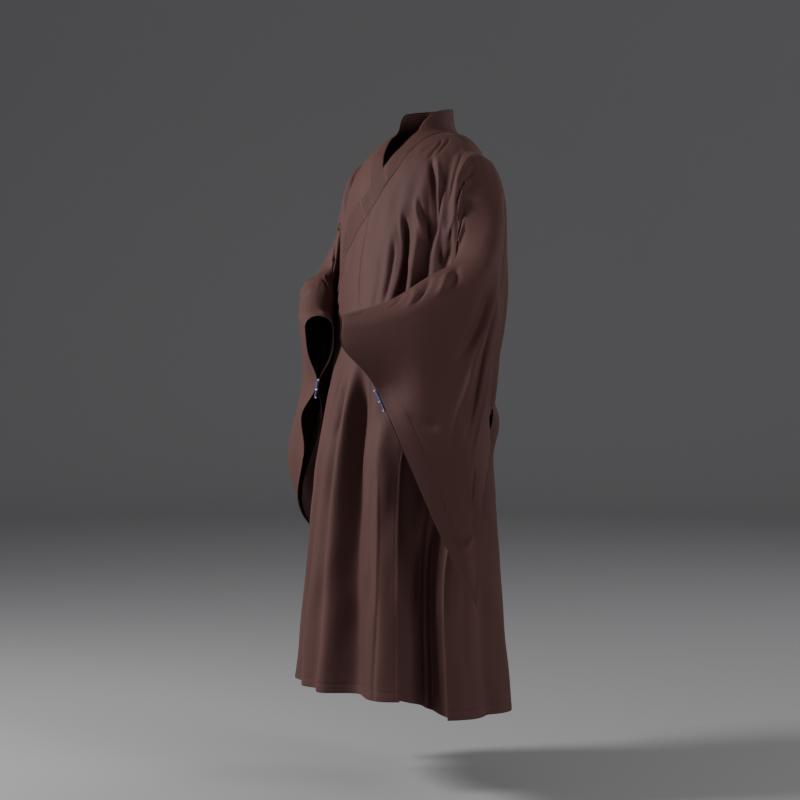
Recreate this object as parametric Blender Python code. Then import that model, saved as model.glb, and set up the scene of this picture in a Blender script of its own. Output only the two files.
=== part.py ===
"""A Buddhist monk's long robe with deep bag sleeves, worn with the hands joined in front of the waist.

The cloth is the only thing here: a wrapped body, a long collar band, two sleeves and the deep side pleats.
The body is one hollow form, given by an angle round the wearer and a run down the cloth from the neck.
Every body panel is a patch of that form between four edge lines; layers are the same form moved in or out.
A sleeve is a row of hanging teardrop sections, from the armhole over the elbow to the cuff.

Angles are in degrees from the wearer's front, positive towards the wearer's left (+X). The front faces -Y.
Heights are above the floor the wearer stands on. The origin is where the robe hangs on the shoulders.
"""

import math

import bmesh
import bpy
import numpy as np
from mathutils import Vector

# Driving sizes, in metres.
MOUNT_HEIGHT = 1.500
WALL = 0.0016
SEAM_GAP = 0.0003
CENTRE_GAP = 0.0006
CORNER_GAP = WALL / 2 + SEAM_GAP
LAYER = WALL + 0.0006
HEM_FRONT_RUN = 1.340
HEM_BACK_RUN = 1.378

# The hollow form of the body, one row for each level, from the top of the standing collar to the hem.
SECTION_COLUMNS = ("run", "height", "half_width", "half_depth", "centre_y")
SECTIONS = (
    (-0.060, 1.560, 0.0610, 0.0620, 0.0170),
    (-0.020, 1.520, 0.0650, 0.0640, 0.0180),
    (0.000, 1.501, 0.0750, 0.0680, 0.0180),
    (0.040, 1.486, 0.1140, 0.0800, 0.0165),
    (0.080, 1.466, 0.1500, 0.0910, 0.0120),
    (0.120, 1.439, 0.1790, 0.1030, 0.0045),
    (0.180, 1.386, 0.1990, 0.1160, -0.0050),
    (0.270, 1.300, 0.2050, 0.1250, -0.0140),
    (0.350, 1.220, 0.2050, 0.1310, -0.0200),
    (0.465, 1.105, 0.2050, 0.1410, -0.0310),
    (0.620, 0.950, 0.2100, 0.1500, -0.0410),
    (0.730, 0.840, 0.2220, 0.1580, -0.0480),
    (0.820, 0.750, 0.2360, 0.1690, -0.0540),
    (0.920, 0.650, 0.2500, 0.1750, -0.0590),
    (1.060, 0.510, 0.2650, 0.1840, -0.0620),
    (1.200, 0.370, 0.2800, 0.1930, -0.0630),
    (1.400, 0.170, 0.3020, 0.2090, -0.0640),
)

# Folds of the body: where each starts and ends, its angle there, its depth (a ridge is positive) and its
# half width in degrees at the top and the bottom.
FOLD_COLUMNS = ("top_run", "end_run", "top_angle", "end_angle", "depth", "top_half", "end_half")
FOLDS = {
    "front_ridge_right": (0.66, 1.60, -15.0, -24.0, 0.009, 6.0, 8.0),
    "front_trough_right": (0.62, 1.60, -8.5, -14.0, -0.008, 3.2, 5.0),
    "front_ridge_middle": (0.58, 1.60, -1.0, -2.5, 0.022, 4.0, 6.5),
    "front_trough_middle": (0.58, 1.60, 4.5, 15.0, -0.036, 4.5, 9.5),
    "front_ridge_left": (0.66, 1.60, 26.0, 34.0, 0.018, 8.0, 8.0),
    "overlap_trough": (0.75, 1.60, -30.0, -34.0, -0.012, 6.0, 7.0),
    "chest_trough_left": (0.22, 0.58, 31.0, 32.0, -0.020, 4.6, 4.6),
    "chest_ridge_left": (0.22, 0.60, 38.0, 39.0, 0.008, 4.4, 4.4),
    "chest_trough_arm": (0.14, 0.56, 45.0, 49.0, -0.014, 4.6, 4.8),
    "chest_trough_right": (0.20, 0.60, -38.0, -44.0, -0.006, 4.5, 5.0),
    "back_trough_left_side": (0.45, 1.60, 104.0, 96.0, -0.020, 8.0, 9.0),
    "back_ridge_left_side": (0.40, 1.60, 122.0, 118.0, 0.010, 8.0, 9.0),
    "back_trough_left": (0.30, 1.60, 142.0, 140.0, -0.022, 8.0, 9.0),
    "back_ridge_left": (0.30, 1.60, 160.0, 159.0, 0.009, 8.0, 8.0),
    "back_ridge_right": (0.30, 1.60, -159.0, -157.0, 0.010, 8.0, 8.0),
    "back_trough_right": (0.30, 1.60, -141.0, -137.0, -0.020, 8.0, 9.0),
    "back_ridge_right_side": (0.40, 1.60, -121.0, -116.0, 0.011, 8.0, 9.0),
    "back_trough_right_side": (0.45, 1.60, -106.0, -101.0, -0.016, 8.0, 9.0),
}
UNDERARM_CORNER_RUN = 0.728
UNDERARM_CORNER_ANGLE = 130.0
UNDERARM_CORNER_DEPTH = 0.024
UNDERARM_CORNER_HALF_RUN = 0.090
UNDERARM_CORNER_HALF_ANGLE = 26.0

# Edge lines on the form, as (angle, run) pairs from top to bottom, for the wearer's left side.
SHOULDER_SEAM = ((90, 0.0088), (90, 0.085))
ARMHOLE_FRONT = ((90, 0.085), (68, 0.108), (60, 0.150), (56.5, 0.27), (57.5, 0.43), (60, 0.58), (62, 0.66))
ARMHOLE_BACK = ((90, 0.085), (112, 0.108), (120, 0.150), (123, 0.27), (123, 0.43), (122, 0.58), (118, 0.70))
UNDERARM_FRONT = ((62, 0.66), (66, 0.695), (75, 0.723), (88, 0.735))
UNDERARM_BACK = ((118, 0.70), (112, 0.716), (102, 0.729), (88, 0.735))
VENT_FRONT = ((62, 0.66), (53, 0.70), (45, 0.75), (40.5, 0.83), (39.8, 1.06), (40.8, HEM_FRONT_RUN))
VENT_FRONT_RIGHT = ((62, 0.66), (59, 0.70), (56, 0.75), (54, 0.83), (53, 1.06), (53.5, HEM_FRONT_RUN))
VENT_BACK = ((118, 0.70), (114, 0.755), (98, 0.84), (78, 0.93), (67, 1.06), (65.5, HEM_BACK_RUN))
VENT_BACK_RIGHT = ((118, 0.70), (116, 0.755), (105, 0.84), (92, 0.93), (83, 1.06), (81, HEM_BACK_RUN))
CENTRE_SEAM = (
    (-4.4, 0.2548), (-8, 0.36), (-2, 0.48), (8.5, 0.60), (11.5, 0.70), (17, 0.95), (21, HEM_FRONT_RUN),
)
CENTRE_BACK = ((180, 0.0043), (180, 0.70), (180, HEM_BACK_RUN))
UNDER_EDGE = ((24, 0.309), (26, 0.60), (27, 0.90), (28, HEM_FRONT_RUN))
OVERLAP_EDGE = (
    (-54, 0.4403), (-51, 0.50), (-49, 0.60), (-49, 0.70), (-49.5, 0.78), (-50, 0.86), (-50, 1.06),
    (-50.5, HEM_FRONT_RUN),
)
PLEAT_LAP = 0.005
PLEAT_DROP = 0.0045

# The collar band of the overlapping side: its seam with the panels and its free edge, from the nape forwards.
COLLAR_COLUMNS = ("seam_angle", "seam_run", "free_angle", "free_run")
COLLAR = (
    (180, 0.004, 180, -0.055),
    (130, 0.004, 136, -0.054),
    (90, 0.0085, 100, -0.050),
    (64, 0.022, 70, -0.042),
    (44, 0.045, 44, -0.020),
    (31, 0.073, 28, 0.012),
    (22, 0.108, 17.5, 0.053),
    (15.5, 0.150, 9.5, 0.098),
    (8.5, 0.190, 2, 0.143),
    (1.5, 0.229, -6, 0.182),
    (-4.4, 0.2545, -13, 0.211),
    (-14, 0.290, -24, 0.242),
    (-31, 0.351, -40, 0.276),
    (-54, 0.440, -55, 0.318),
)

# How many rows or columns of the grids lie along each seam, the same on the two pieces that meet there.
SHOULDER_COUNT = 4
ARMHOLE_COUNT = 10
UNDERARM_COUNT = 7
VENT_COUNT = 11
NECK_BACK_COUNT = 9
FRONT_TOP_COUNT = 17
OVERLAP_TOP_COUNT = 12
UNDERLAP_TOP_COUNT = 14
COLLAR_ROWS = 3

# The sleeves, one row for each section from the armhole to the cuff: the point over the arm, the point on the
# bottom seam, how far the line between them bows, the direction the outer layer faces (degrees from the
# sideways axis towards the back), the arm's radius in the cloth, and half the gap between the layers below.
# The right sleeve's sideways sizes are towards the wearer's right.
SLEEVE_COLUMNS = (
    "top_x", "top_y", "top_height", "bottom_x", "bottom_y", "bottom_height", "bow_x", "bow_y", "faces",
    "arm_radius", "gape",
)
SLEEVE_LEFT = {
    "armhole": (0.155, 0.012, 1.462, 0.222, -0.048, 0.835, 0.0, 0.0, 90.0, 0.080, 0.090),
    "shoulder": (0.213, -0.005, 1.432, 0.258, -0.035, 0.838, 0.0, 0.0, 72.0, 0.062, 0.056),
    "upper_arm": (0.245, -0.030, 1.330, 0.293, -0.045, 0.795, 0.0, 0.0, 50.0, 0.052, 0.044),
    "elbow": (0.263, -0.085, 1.215, 0.316, -0.080, 0.715, 0.0, 0.0, 10.0, 0.048, 0.030),
    "forearm": (0.215, -0.150, 1.165, 0.326, -0.105, 0.635, 0.0, 0.0, -22.0, 0.048, 0.026),
    "low_forearm": (0.155, -0.220, 1.110, 0.332, -0.112, 0.540, 0.0, 0.0, -33.0, 0.044, 0.026),
    "cuff": (0.085, -0.290, 1.078, 0.333, -0.117, 0.442, 0.0, -0.010, -35.0, 0.036, 0.026),
}
SLEEVE_RIGHT = {
    "armhole": (0.155, 0.012, 1.462, 0.222, -0.048, 0.835, 0.0, 0.0, 90.0, 0.080, 0.090),
    "shoulder": (0.213, -0.005, 1.432, 0.258, -0.033, 0.838, 0.0, 0.0, 72.0, 0.062, 0.056),
    "upper_arm": (0.246, -0.028, 1.325, 0.291, -0.024, 0.800, 0.0, 0.0, 50.0, 0.052, 0.044),
    "elbow": (0.258, -0.078, 1.205, 0.312, -0.010, 0.730, 0.005, -0.010, 14.0, 0.048, 0.030),
    "forearm": (0.208, -0.144, 1.152, 0.320, 0.005, 0.655, 0.012, -0.028, -18.0, 0.046, 0.026),
    "low_forearm": (0.145, -0.200, 1.100, 0.322, 0.026, 0.575, 0.040, -0.078, -30.0, 0.042, 0.027),
    "cuff": (0.077, -0.238, 1.078, 0.318, 0.022, 0.500, 0.045, -0.092, -38.0, 0.034, 0.028),
}
SLEEVE_STATIONS = len(SLEEVE_LEFT) - 1
SLEEVE_ALONG_COUNT = 15
ARM_SHARE = 0.24
BOTTOM_GAPE = WALL / 2 + 0.0003
PINCH_HALF_SHARE = 0.07
CLOSING_LEFT = (0.30, 0.60)
CLOSING_RIGHT = (0.50, 0.46)
CUFF_NOSE = (-0.020, -0.026)
CUFF_NOSE_DROP = 0.105
CUFF_NOSE_HALF = 0.082
CUFF_CURL = 0.060
CUFF_BACK = (0.032, 0.028)
LEAVING_STATIONS = 1.1

# The stitched bar that joins the two cuff edges below the hand.
TIE_SHARE = 0.42
TIE_LENGTH = 0.050
TIE_RADIUS = 0.0022
TIE_GAP = 0.0004

CLOTH_BROWN = (0.085, 0.045, 0.040, 1.0)
COLLAR_BROWN = (0.080, 0.038, 0.035, 1.0)
TIE_BLUE = (0.020, 0.030, 0.160, 1.0)

METRES_PER_DEGREE = 0.0036
EVENING_PASSES = 500
STEP_ANGLE = 0.05
STEP_RUN = 0.0005


def clamp(value, low=0.0, high=1.0):
    return max(low, min(high, value))


def smooth(value):
    value = clamp(value)
    return value * value * (3.0 - 2.0 * value)


def read(rows, x):
    """The columns after the first of a table at x, along a smooth curve through its rows."""
    last = len(rows) - 1
    i = 0
    while i < last - 1 and x > rows[i + 1][0]:
        i += 1
    low, high = rows[i], rows[i + 1]
    before = rows[max(i - 1, 0)]
    after = rows[min(i + 2, last)]
    span = high[0] - low[0]
    t = clamp((x - low[0]) / span)
    values = []
    for column in range(1, len(low)):
        slope_low = (high[column] - before[column]) / (high[0] - before[0])
        slope_high = (after[column] - low[column]) / (after[0] - low[0])
        t2, t3 = t * t, t * t * t
        values.append(
            (2 * t3 - 3 * t2 + 1) * low[column]
            + (t3 - 2 * t2 + t) * span * slope_low
            + (3 * t2 - 2 * t3) * high[column]
            + (t3 - t2) * span * slope_high
        )
    return values


def curve(points):
    """A line on the form through (angle, run) points, as a function of the share along it."""
    lengths = [0.0]
    for (angle_a, run_a), (angle_b, run_b) in zip(points, points[1:]):
        lengths.append(lengths[-1] + math.hypot((angle_b - angle_a) * METRES_PER_DEGREE, run_b - run_a))
    rows = [(length / lengths[-1], *point) for length, point in zip(lengths, points)]
    return lambda share: read(rows, clamp(share))


def part_of(line, low, high):
    return lambda share: line(low + (high - low) * share)


def reverse(line):
    return lambda share: line(1.0 - share)


def mirror(line):
    def at(share):
        angle, run = line(share)
        return [-angle, run]

    return at


def moved(line, angle=0.0, run=0.0):
    def at(share):
        here = line(share)
        return [here[0] + angle, here[1] + run]

    return at


def beside(line, distance):
    """A line beside another on the cloth, to the left of its way for a positive distance."""

    def at(share):
        low, high = line(max(share - 0.01, 0.0)), line(min(share + 0.01, 1.0))
        across = (high[0] - low[0]) * METRES_PER_DEGREE
        down = high[1] - low[1]
        length = math.hypot(across, down)
        here = line(share)
        return [here[0] + distance * down / length / METRES_PER_DEGREE, here[1] - distance * across / length]

    return at


def chain(*parts):
    """Lines end to end, each with its count of grid steps, as one line."""
    total = sum(count for line, count in parts)

    def at(share):
        step = clamp(share) * total
        for line, count in parts:
            if step <= count + 1e-9:
                return line(step / count)
            step -= count
        return parts[-1][0](1.0)

    return at


def share_at(line, angle):
    """The share along a line, which turns one way, where it passes an angle."""
    low, high = 0.0, 1.0
    falls = line(0.0)[0] > line(1.0)[0]
    for _ in range(40):
        middle = (low + high) / 2
        if (line(middle)[0] > angle) == falls:
            low = middle
        else:
            high = middle
    return (low + high) / 2


def turned(angle):
    """The same angle between -180 and 180."""
    return (angle + 180.0) % 360.0 - 180.0


def fold_depth(angle, run):
    """How far the folds move the cloth out of the plain form."""
    depth = 0.0
    for top_run, end_run, top_angle, end_angle, size, top_half, end_half in FOLDS.values():
        if not top_run < run < end_run:
            continue
        share = (run - top_run) / (end_run - top_run)
        half = top_half + (end_half - top_half) * share
        away = turned(angle - (top_angle + (end_angle - top_angle) * share)) / half
        if abs(away) > 2.2:
            continue
        ends = smooth((run - top_run) / 0.16) * smooth((end_run - run) / 0.12)
        depth += size * ends * math.exp(-away * away)
    for side in (1.0, -1.0):
        along = (run - UNDERARM_CORNER_RUN) / UNDERARM_CORNER_HALF_RUN
        across = turned(angle - side * UNDERARM_CORNER_ANGLE) / UNDERARM_CORNER_HALF_ANGLE
        if abs(along) < 1.0 and abs(across) < 1.0:
            bump = math.cos(along * math.pi / 2) ** 2 * math.cos(across * math.pi / 2) ** 2
            depth += UNDERARM_CORNER_DEPTH * bump
    return depth


def covered_depth(angle, run):
    """The right front runs flat under the overlap, further in than the folds that cover it."""
    covered = smooth((run - 0.178 + 0.0027 * angle) / 0.12) * smooth((angle + 62.0) / 12.0)
    inside = 0.010 + 0.010 * smooth((angle + 46.0) / 14.0) + 0.022 * smooth((angle + 14.0) / 14.0)
    return fold_depth(angle, run) * (1 - covered) - inside * covered


def form(angle, run, depth_at):
    height, half_width, half_depth, centre_y = read(SECTIONS, run)
    a = math.radians(angle)
    out = Vector((math.sin(a) * half_depth, -math.cos(a) * half_width, 0.0)).normalized()
    place = Vector((half_width * math.sin(a), centre_y - half_depth * math.cos(a), height))
    return place + out * depth_at(angle, run)


def robe_point(angle, run, lift=0.0, depth_at=fold_depth):
    """(point, outward normal) on the folded body, moved out along its normal by lift."""
    place = form(angle, run, depth_at)
    across = form(angle + STEP_ANGLE, run, depth_at) - form(angle - STEP_ANGLE, run, depth_at)
    down = form(angle, run + STEP_RUN, depth_at) - form(angle, run - STEP_RUN, depth_at)
    normal = down.cross(across).normalized()
    return place + normal * lift, normal


def under_point(angle, run, lift=0.0):
    """The same on the right front, which lies under the overlap and comes up to the back at the side."""
    return robe_point(angle, run, lift - 2 * LAYER * smooth((angle + 88.0) / 24.0), covered_depth)


def patch_grid(left, right, top, bottom, columns, rows):
    """The (angle, run) of a grid that fills four edge lines, with its cells evened out between them."""
    grid = np.zeros((rows + 1, columns + 1, 2))
    for j in range(rows + 1):
        for i in range(columns + 1):
            across, down = i / columns, j / rows
            ends = np.array(left(down)) * (1 - across) + np.array(right(down)) * across
            shape = np.array(top(across)) * (1 - down) + np.array(bottom(across)) * down
            chord = np.array(top(0.0)) * (1 - across) + np.array(top(1.0)) * across
            low_chord = np.array(bottom(0.0)) * (1 - across) + np.array(bottom(1.0)) * across
            grid[j, i] = ends + shape - chord * (1 - down) - low_chord * down
    for i in range(1, columns):
        grid[0, i], grid[rows, i] = top(i / columns), bottom(i / columns)
    for j in range(rows + 1):
        grid[j, 0], grid[j, columns] = left(j / rows), right(j / rows)
    grid[:, :, 0] *= METRES_PER_DEGREE
    for _ in range(EVENING_PASSES):
        across = (grid[1:-1, 2:] - grid[1:-1, :-2]) / 2
        down = (grid[2:, 1:-1] - grid[:-2, 1:-1]) / 2
        twist = (grid[2:, 2:] - grid[2:, :-2] - grid[:-2, 2:] + grid[:-2, :-2]) / 4
        alpha = (down**2).sum(axis=2, keepdims=True)
        gamma = (across**2).sum(axis=2, keepdims=True)
        beta = (across * down).sum(axis=2, keepdims=True)
        pulled = alpha * (grid[1:-1, 2:] + grid[1:-1, :-2]) + gamma * (grid[2:, 1:-1] + grid[:-2, 1:-1])
        pulled = (pulled - 2 * beta * twist) / (2 * (alpha + gamma))
        grid[1:-1, 1:-1] += 0.8 * (pulled - grid[1:-1, 1:-1])
    grid[:, :, 0] /= METRES_PER_DEGREE
    return grid


def material(name, colour, roughness):
    made = bpy.data.materials.new(name)
    made.use_nodes = True
    shader = made.node_tree.nodes["Principled BSDF"]
    shader.inputs["Base Color"].default_value = colour
    shader.inputs["Roughness"].default_value = roughness
    shader.inputs["Metallic"].default_value = 0.0
    return made


def wall(name, grid, colour=CLOTH_BROWN):
    """A closed cloth wall over a grid of (point in the middle of the wall, normal) at each crossing."""
    rows, columns = len(grid) - 1, len(grid[0]) - 1
    shape = bmesh.new()
    layers = {+1: [], -1: []}
    for j in range(rows + 1):
        for i in range(columns + 1):
            place, normal = grid[j][i]
            if 0 < i < columns and 0 < j < rows:
                down = grid[j + 1][i][0] - grid[j - 1][i][0]
                across = grid[j][i + 1][0] - grid[j][i - 1][0]
                square = down.cross(across).normalized()
                normal = square if normal.dot(square) > 0 else -square
            place = place - Vector((0.0, 0.0, MOUNT_HEIGHT))
            for side, points in layers.items():
                points.append(shape.verts.new(place + normal * (side * WALL / 2)))
    width = columns + 1
    for side, points in layers.items():
        for j in range(rows):
            for i in range(columns):
                k = j * width + i
                shape.faces.new((points[k], points[k + width], points[k + width + 1], points[k + 1]))
    ring = list(range(width))
    ring += [j * width + columns for j in range(1, rows + 1)]
    ring += [rows * width + i for i in range(columns - 1, -1, -1)]
    ring += [j * width for j in range(rows - 1, 0, -1)]
    for a, b in zip(ring, ring[1:] + ring[:1]):
        shape.faces.new((layers[1][a], layers[1][b], layers[-1][b], layers[-1][a]))
    bmesh.ops.recalc_face_normals(shape, faces=shape.faces)
    mesh = bpy.data.meshes.new(name)
    shape.to_mesh(mesh)
    shape.free()
    mesh.shade_smooth()
    mesh.materials.append(material(f"{name}_cloth", colour, 0.85))
    piece = bpy.data.objects.new(name, mesh)
    bpy.context.scene.collection.objects.link(piece)
    return piece


def body_panel(name, left, right, top, bottom, columns, rows, point=robe_point):
    places = patch_grid(left, right, top, bottom, columns, rows)
    return wall(name, [[point(*here) for here in row] for row in places.tolist()])


def collar_seam(share):
    return curve([row[:2] for row in COLLAR])(share)


def seam_part(high_angle, low_angle):
    """The collar seam between two angles, from the nape's side forwards."""
    return part_of(collar_seam, share_at(collar_seam, high_angle), share_at(collar_seam, low_angle))


def centre_edge(side):
    """One side of the seam down the front, which opens a little below its top."""

    def at(share):
        angle, run = curve(CENTRE_SEAM)(share)
        gap = SEAM_GAP + (CENTRE_GAP - SEAM_GAP) * smooth(share * 5.0)
        return [angle + side * gap / 2 / METRES_PER_DEGREE, run]

    return at


def front_panels():
    half_gap = SEAM_GAP / 2
    rows = ARMHOLE_COUNT + VENT_COUNT
    vent = curve(VENT_FRONT)
    shoulder = moved(curve(SHOULDER_SEAM), angle=-half_gap / METRES_PER_DEGREE)
    armhole = beside(curve(ARMHOLE_FRONT), -CORNER_GAP)
    side = chain((armhole, ARMHOLE_COUNT), (vent, VENT_COUNT))
    low_corner = CENTRE_SEAM[0][0]

    neck = moved(reverse(seam_part(90.0, low_corner)), run=SEAM_GAP)
    top = chain((neck, FRONT_TOP_COUNT), (shoulder, SHOULDER_COUNT))
    inner = centre_edge(1.0)
    hem = curve((inner(1.0), side(1.0)))
    body_panel("front_left", inner, side, top, hem, FRONT_TOP_COUNT + SHOULDER_COUNT, rows)

    top = moved(reverse(seam_part(low_corner, COLLAR[-1][0])), run=SEAM_GAP)
    outer = curve(OVERLAP_EDGE)
    inner = centre_edge(-1.0)
    hem = curve((outer(1.0), inner(1.0)))
    body_panel("front_overlap", outer, inner, top, hem, OVERLAP_TOP_COUNT, rows)

    neck = moved(mirror(seam_part(90.0, -UNDER_EDGE[0][0])), run=SEAM_GAP)
    top = chain((reverse(mirror(shoulder)), SHOULDER_COUNT), (neck, UNDERLAP_TOP_COUNT))
    outer = chain((armhole, ARMHOLE_COUNT), (curve(VENT_FRONT_RIGHT), VENT_COUNT))
    outer = mirror(outer)
    inner = curve((top(1.0),) + UNDER_EDGE[1:])
    hem = curve((outer(1.0), inner(1.0)))
    columns = UNDERLAP_TOP_COUNT + SHOULDER_COUNT
    body_panel("front_right", outer, inner, top, hem, columns, rows, under_point)


def back_panels():
    half_gap = SEAM_GAP / 2
    rows = ARMHOLE_COUNT + VENT_COUNT
    columns = SHOULDER_COUNT + NECK_BACK_COUNT
    shoulder = moved(curve(SHOULDER_SEAM), angle=half_gap / METRES_PER_DEGREE)
    armhole = beside(curve(ARMHOLE_BACK), CORNER_GAP)
    outer = chain((armhole, ARMHOLE_COUNT), (curve(VENT_BACK), VENT_COUNT))
    spans = (curve(CENTRE_BACK[:2]), curve(CENTRE_BACK[1:]))
    middle = chain((spans[0], ARMHOLE_COUNT), (spans[1], VENT_COUNT))
    middle = moved(middle, angle=-half_gap / METRES_PER_DEGREE)
    neck = moved(reverse(seam_part(180.0, 90.0)), run=SEAM_GAP)
    top = chain((reverse(shoulder), SHOULDER_COUNT), (neck, NECK_BACK_COUNT))
    hem = curve((outer(1.0), middle(1.0)))
    body_panel("back_left", outer, middle, top, hem, columns, rows)
    outer = chain((armhole, ARMHOLE_COUNT), (curve(VENT_BACK_RIGHT), VENT_COUNT))
    hem = curve((outer(1.0), middle(1.0)))
    sides = (mirror(middle), mirror(outer), mirror(reverse(top)), mirror(reverse(hem)))
    body_panel("back_right", *sides, columns, rows)


def pleat_edge(line, way, start, clear):
    """A side edge of the pleats, sewn under a vent's edge, which starts just outside it at the underarm."""
    first = 0.03
    outside, under = beside(line, way * (CORNER_GAP + clear)), beside(line, -way * PLEAT_LAP)

    def lapped(share):
        clear, low = outside(first + (1 - first) * share), under(first + (1 - first) * share)
        mix = smooth(share * 8.0)
        return [clear[k] + (low[k] - clear[k]) * mix - (0.0, 0.004 * share)[k] for k in range(2)]

    return chain((part_of(outside, start, first), 1), (lapped, VENT_COUNT + 1))


def pleat_point(here, across, down, sign):
    """The pleats lie inside the body's form: just under the vent's edges, and deep between them."""
    inward = math.sin(math.pi * clamp(across)) ** 0.8
    deep = 0.054 * smooth(down * 1.5) * (1 - 0.30 * math.sin(3 * math.pi * across) ** 2)
    lift = -PLEAT_DROP * (1 + 0.9 * across) * smooth(down * (VENT_COUNT + 2)) - deep * inward
    place, normal = robe_point(sign * here[0], here[1], lift)
    if sign < 0:
        under, under_normal = under_point(-here[0], here[1], lift)
        mix = 1 - smooth(across * 3.0)
        place, normal = place.lerp(under, mix), normal.lerp(under_normal, mix).normalized()
    return place, normal


def side_pleats():
    """The cloth behind each vent, sewn under the front's and the back's edges and folded in between."""
    lines = (curve(UNDERARM_FRONT), reverse(curve(UNDERARM_BACK)))
    under = beside(chain((lines[0], UNDERARM_COUNT), (lines[1], UNDERARM_COUNT)), -CORNER_GAP)
    columns, rows = 2 * UNDERARM_COUNT, VENT_COUNT + 2
    vents = {
        "pleat_left": (1, VENT_FRONT, VENT_BACK),
        "pleat_right": (-1, VENT_FRONT_RIGHT, VENT_BACK_RIGHT),
    }
    for name, (sign, front_line, back_line) in vents.items():
        front = pleat_edge(curve(front_line), 1.0, 0.006, 0.0012)
        back = pleat_edge(curve(back_line), -1.0, 0.014, 0.0035)
        hem = curve((front(1.0), back(1.0)))
        places = patch_grid(front, back, under, hem, columns, rows).tolist()
        grid = []
        for j, row in enumerate(places):
            grid.append([pleat_point(here, i / columns, j / rows, sign) for i, here in enumerate(row)])
        wall(name, grid)


def collar_band(name, sign, parts, point):
    """One half of the collar, in parts of the seam with their counts of columns."""
    seam = chain(*parts)
    rows = [(share_at(collar_seam, row[0]), *row[2:]) for row in COLLAR]
    rows[0] = (0.0, *COLLAR[0][2:])
    rows[-1] = (1.0, *COLLAR[-1][2:])
    most = 180.0 - SEAM_GAP / METRES_PER_DEGREE

    def point_at(across, down):
        share = seam(across)
        seam_angle, seam_run = collar_seam(share)
        free_angle, free_run = read(rows, share)
        angle = min(most, free_angle + (seam_angle - free_angle) * down)
        run = free_run + (seam_run - free_run) * down
        return point(sign * angle, run)

    columns = sum(count for line, count in parts)
    grid = []
    for j in range(COLLAR_ROWS + 1):
        grid.append([point_at(i / columns, j / COLLAR_ROWS) for i in range(columns + 1)])
    wall(name, grid, COLLAR_BROWN)


def collar_bands():
    """The left band crosses over to the wearer's right, and the right band lies under it."""
    shoulder = share_at(collar_seam, 90.0)
    corner = share_at(collar_seam, CENTRE_SEAM[0][0])
    under_end = share_at(collar_seam, -UNDER_EDGE[0][0])

    def span(low, high):
        return lambda share: low + (high - low) * share

    left = (
        (span(0.0, shoulder), NECK_BACK_COUNT),
        (span(shoulder, corner), FRONT_TOP_COUNT),
        (span(corner, 1.0), OVERLAP_TOP_COUNT),
    )
    collar_band("collar_left", 1, left, robe_point)
    right = ((span(0.0, shoulder), NECK_BACK_COUNT), (span(shoulder, under_end), UNDERLAP_TOP_COUNT))
    collar_band("collar_right", -1, right, under_point)


def root_point(share, side, sign):
    """The armhole from the shoulder down one side to the underarm, as a point on the body."""
    if side < 0:
        lines = (curve(ARMHOLE_FRONT), curve(UNDERARM_FRONT))
    else:
        lines = (curve(ARMHOLE_BACK), curve(UNDERARM_BACK))
    angle, run = chain((lines[0], ARMHOLE_COUNT), (lines[1], UNDERARM_COUNT))(min(share, 0.9985))
    if sign < 0 and side < 0:
        return under_point(-angle, run)[0]
    return robe_point(sign * angle, run)[0]


def past_armhole(distance, share, side, sign):
    """The body's own form, carried on past the armhole by a distance."""
    lines = (ARMHOLE_FRONT, UNDERARM_FRONT) if side < 0 else (ARMHOLE_BACK, UNDERARM_BACK)
    line = chain((curve(lines[0]), ARMHOLE_COUNT), (curve(lines[1]), UNDERARM_COUNT))
    here = line(share)
    angle, run = beside(line, -side * distance)(share)
    angle = here[0] + (angle - here[0]) * smooth(share / 0.12)
    if sign < 0 and side < 0:
        return under_point(-angle, run)[0]
    return robe_point(sign * angle, run)[0]


def sleeve_row(station, sign):
    table = SLEEVE_LEFT if sign > 0 else SLEEVE_RIGHT
    return read([(i, *row) for i, row in enumerate(table.values())], station)


def hanging_section(station, share, side, sign):
    """A point of the teardrop section at a place along the sleeve, from the arm down to the bottom seam."""
    tx, ty, th, bx, by, bh, bow_x, bow_y, faces, radius, gape = sleeve_row(station, sign)
    top, bottom = Vector((tx, ty, th)), Vector((bx, by, bh))
    length = (bottom - top).length
    if share < ARM_SHARE:
        turn = math.pi / 2 * share / ARM_SHARE
        drop, half = radius * (1 - math.cos(turn)), radius * math.sin(turn)
    else:
        low = (share - ARM_SHARE) / (1 - ARM_SHARE)
        drop = radius + (length - radius) * low
        half = gape + (radius - gape) * (1 - smooth(low / 0.42))
        open_until, closing = CLOSING_LEFT if sign > 0 else CLOSING_RIGHT
        half *= 1 - smooth((low - open_until) / closing)
    near_cuff = smooth((station - SLEEVE_STATIONS + 1.2) / 1.2)
    pinch = near_cuff * math.exp(-(((share - TIE_SHARE) / PINCH_HALF_SHARE) ** 2))
    half *= 1 - 0.94 * pinch
    out = Vector((math.cos(math.radians(faces)), math.sin(math.radians(faces)), 0.0))
    fallen = drop / length
    bow = Vector((bow_x, bow_y, 0.0)) * math.sin(math.pi * fallen**2.2)
    place = top + (bottom - top) * fallen + out * (half * side) + bow
    if sign > 0:
        nose = near_cuff * math.exp(-(((fallen - CUFF_NOSE_DROP) / CUFF_NOSE_HALF) ** 2))
        place += Vector((*CUFF_NOSE, 0.0)) * nose
    elif side > 0:
        curl = smooth((station - SLEEVE_STATIONS + 0.85) / 0.85) ** 1.5
        place.x -= CUFF_CURL * curl * smooth((share - 0.50) / 0.16) * smooth((0.92 - share) / 0.24)
    else:
        back = smooth((station - SLEEVE_STATIONS + 1.6) / 1.6)
        back *= smooth((share - 0.47) / 0.16) * smooth((0.88 - share) / 0.26)
        place += Vector((*CUFF_BACK, 0.0)) * back
    place.x *= sign
    return place


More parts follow.
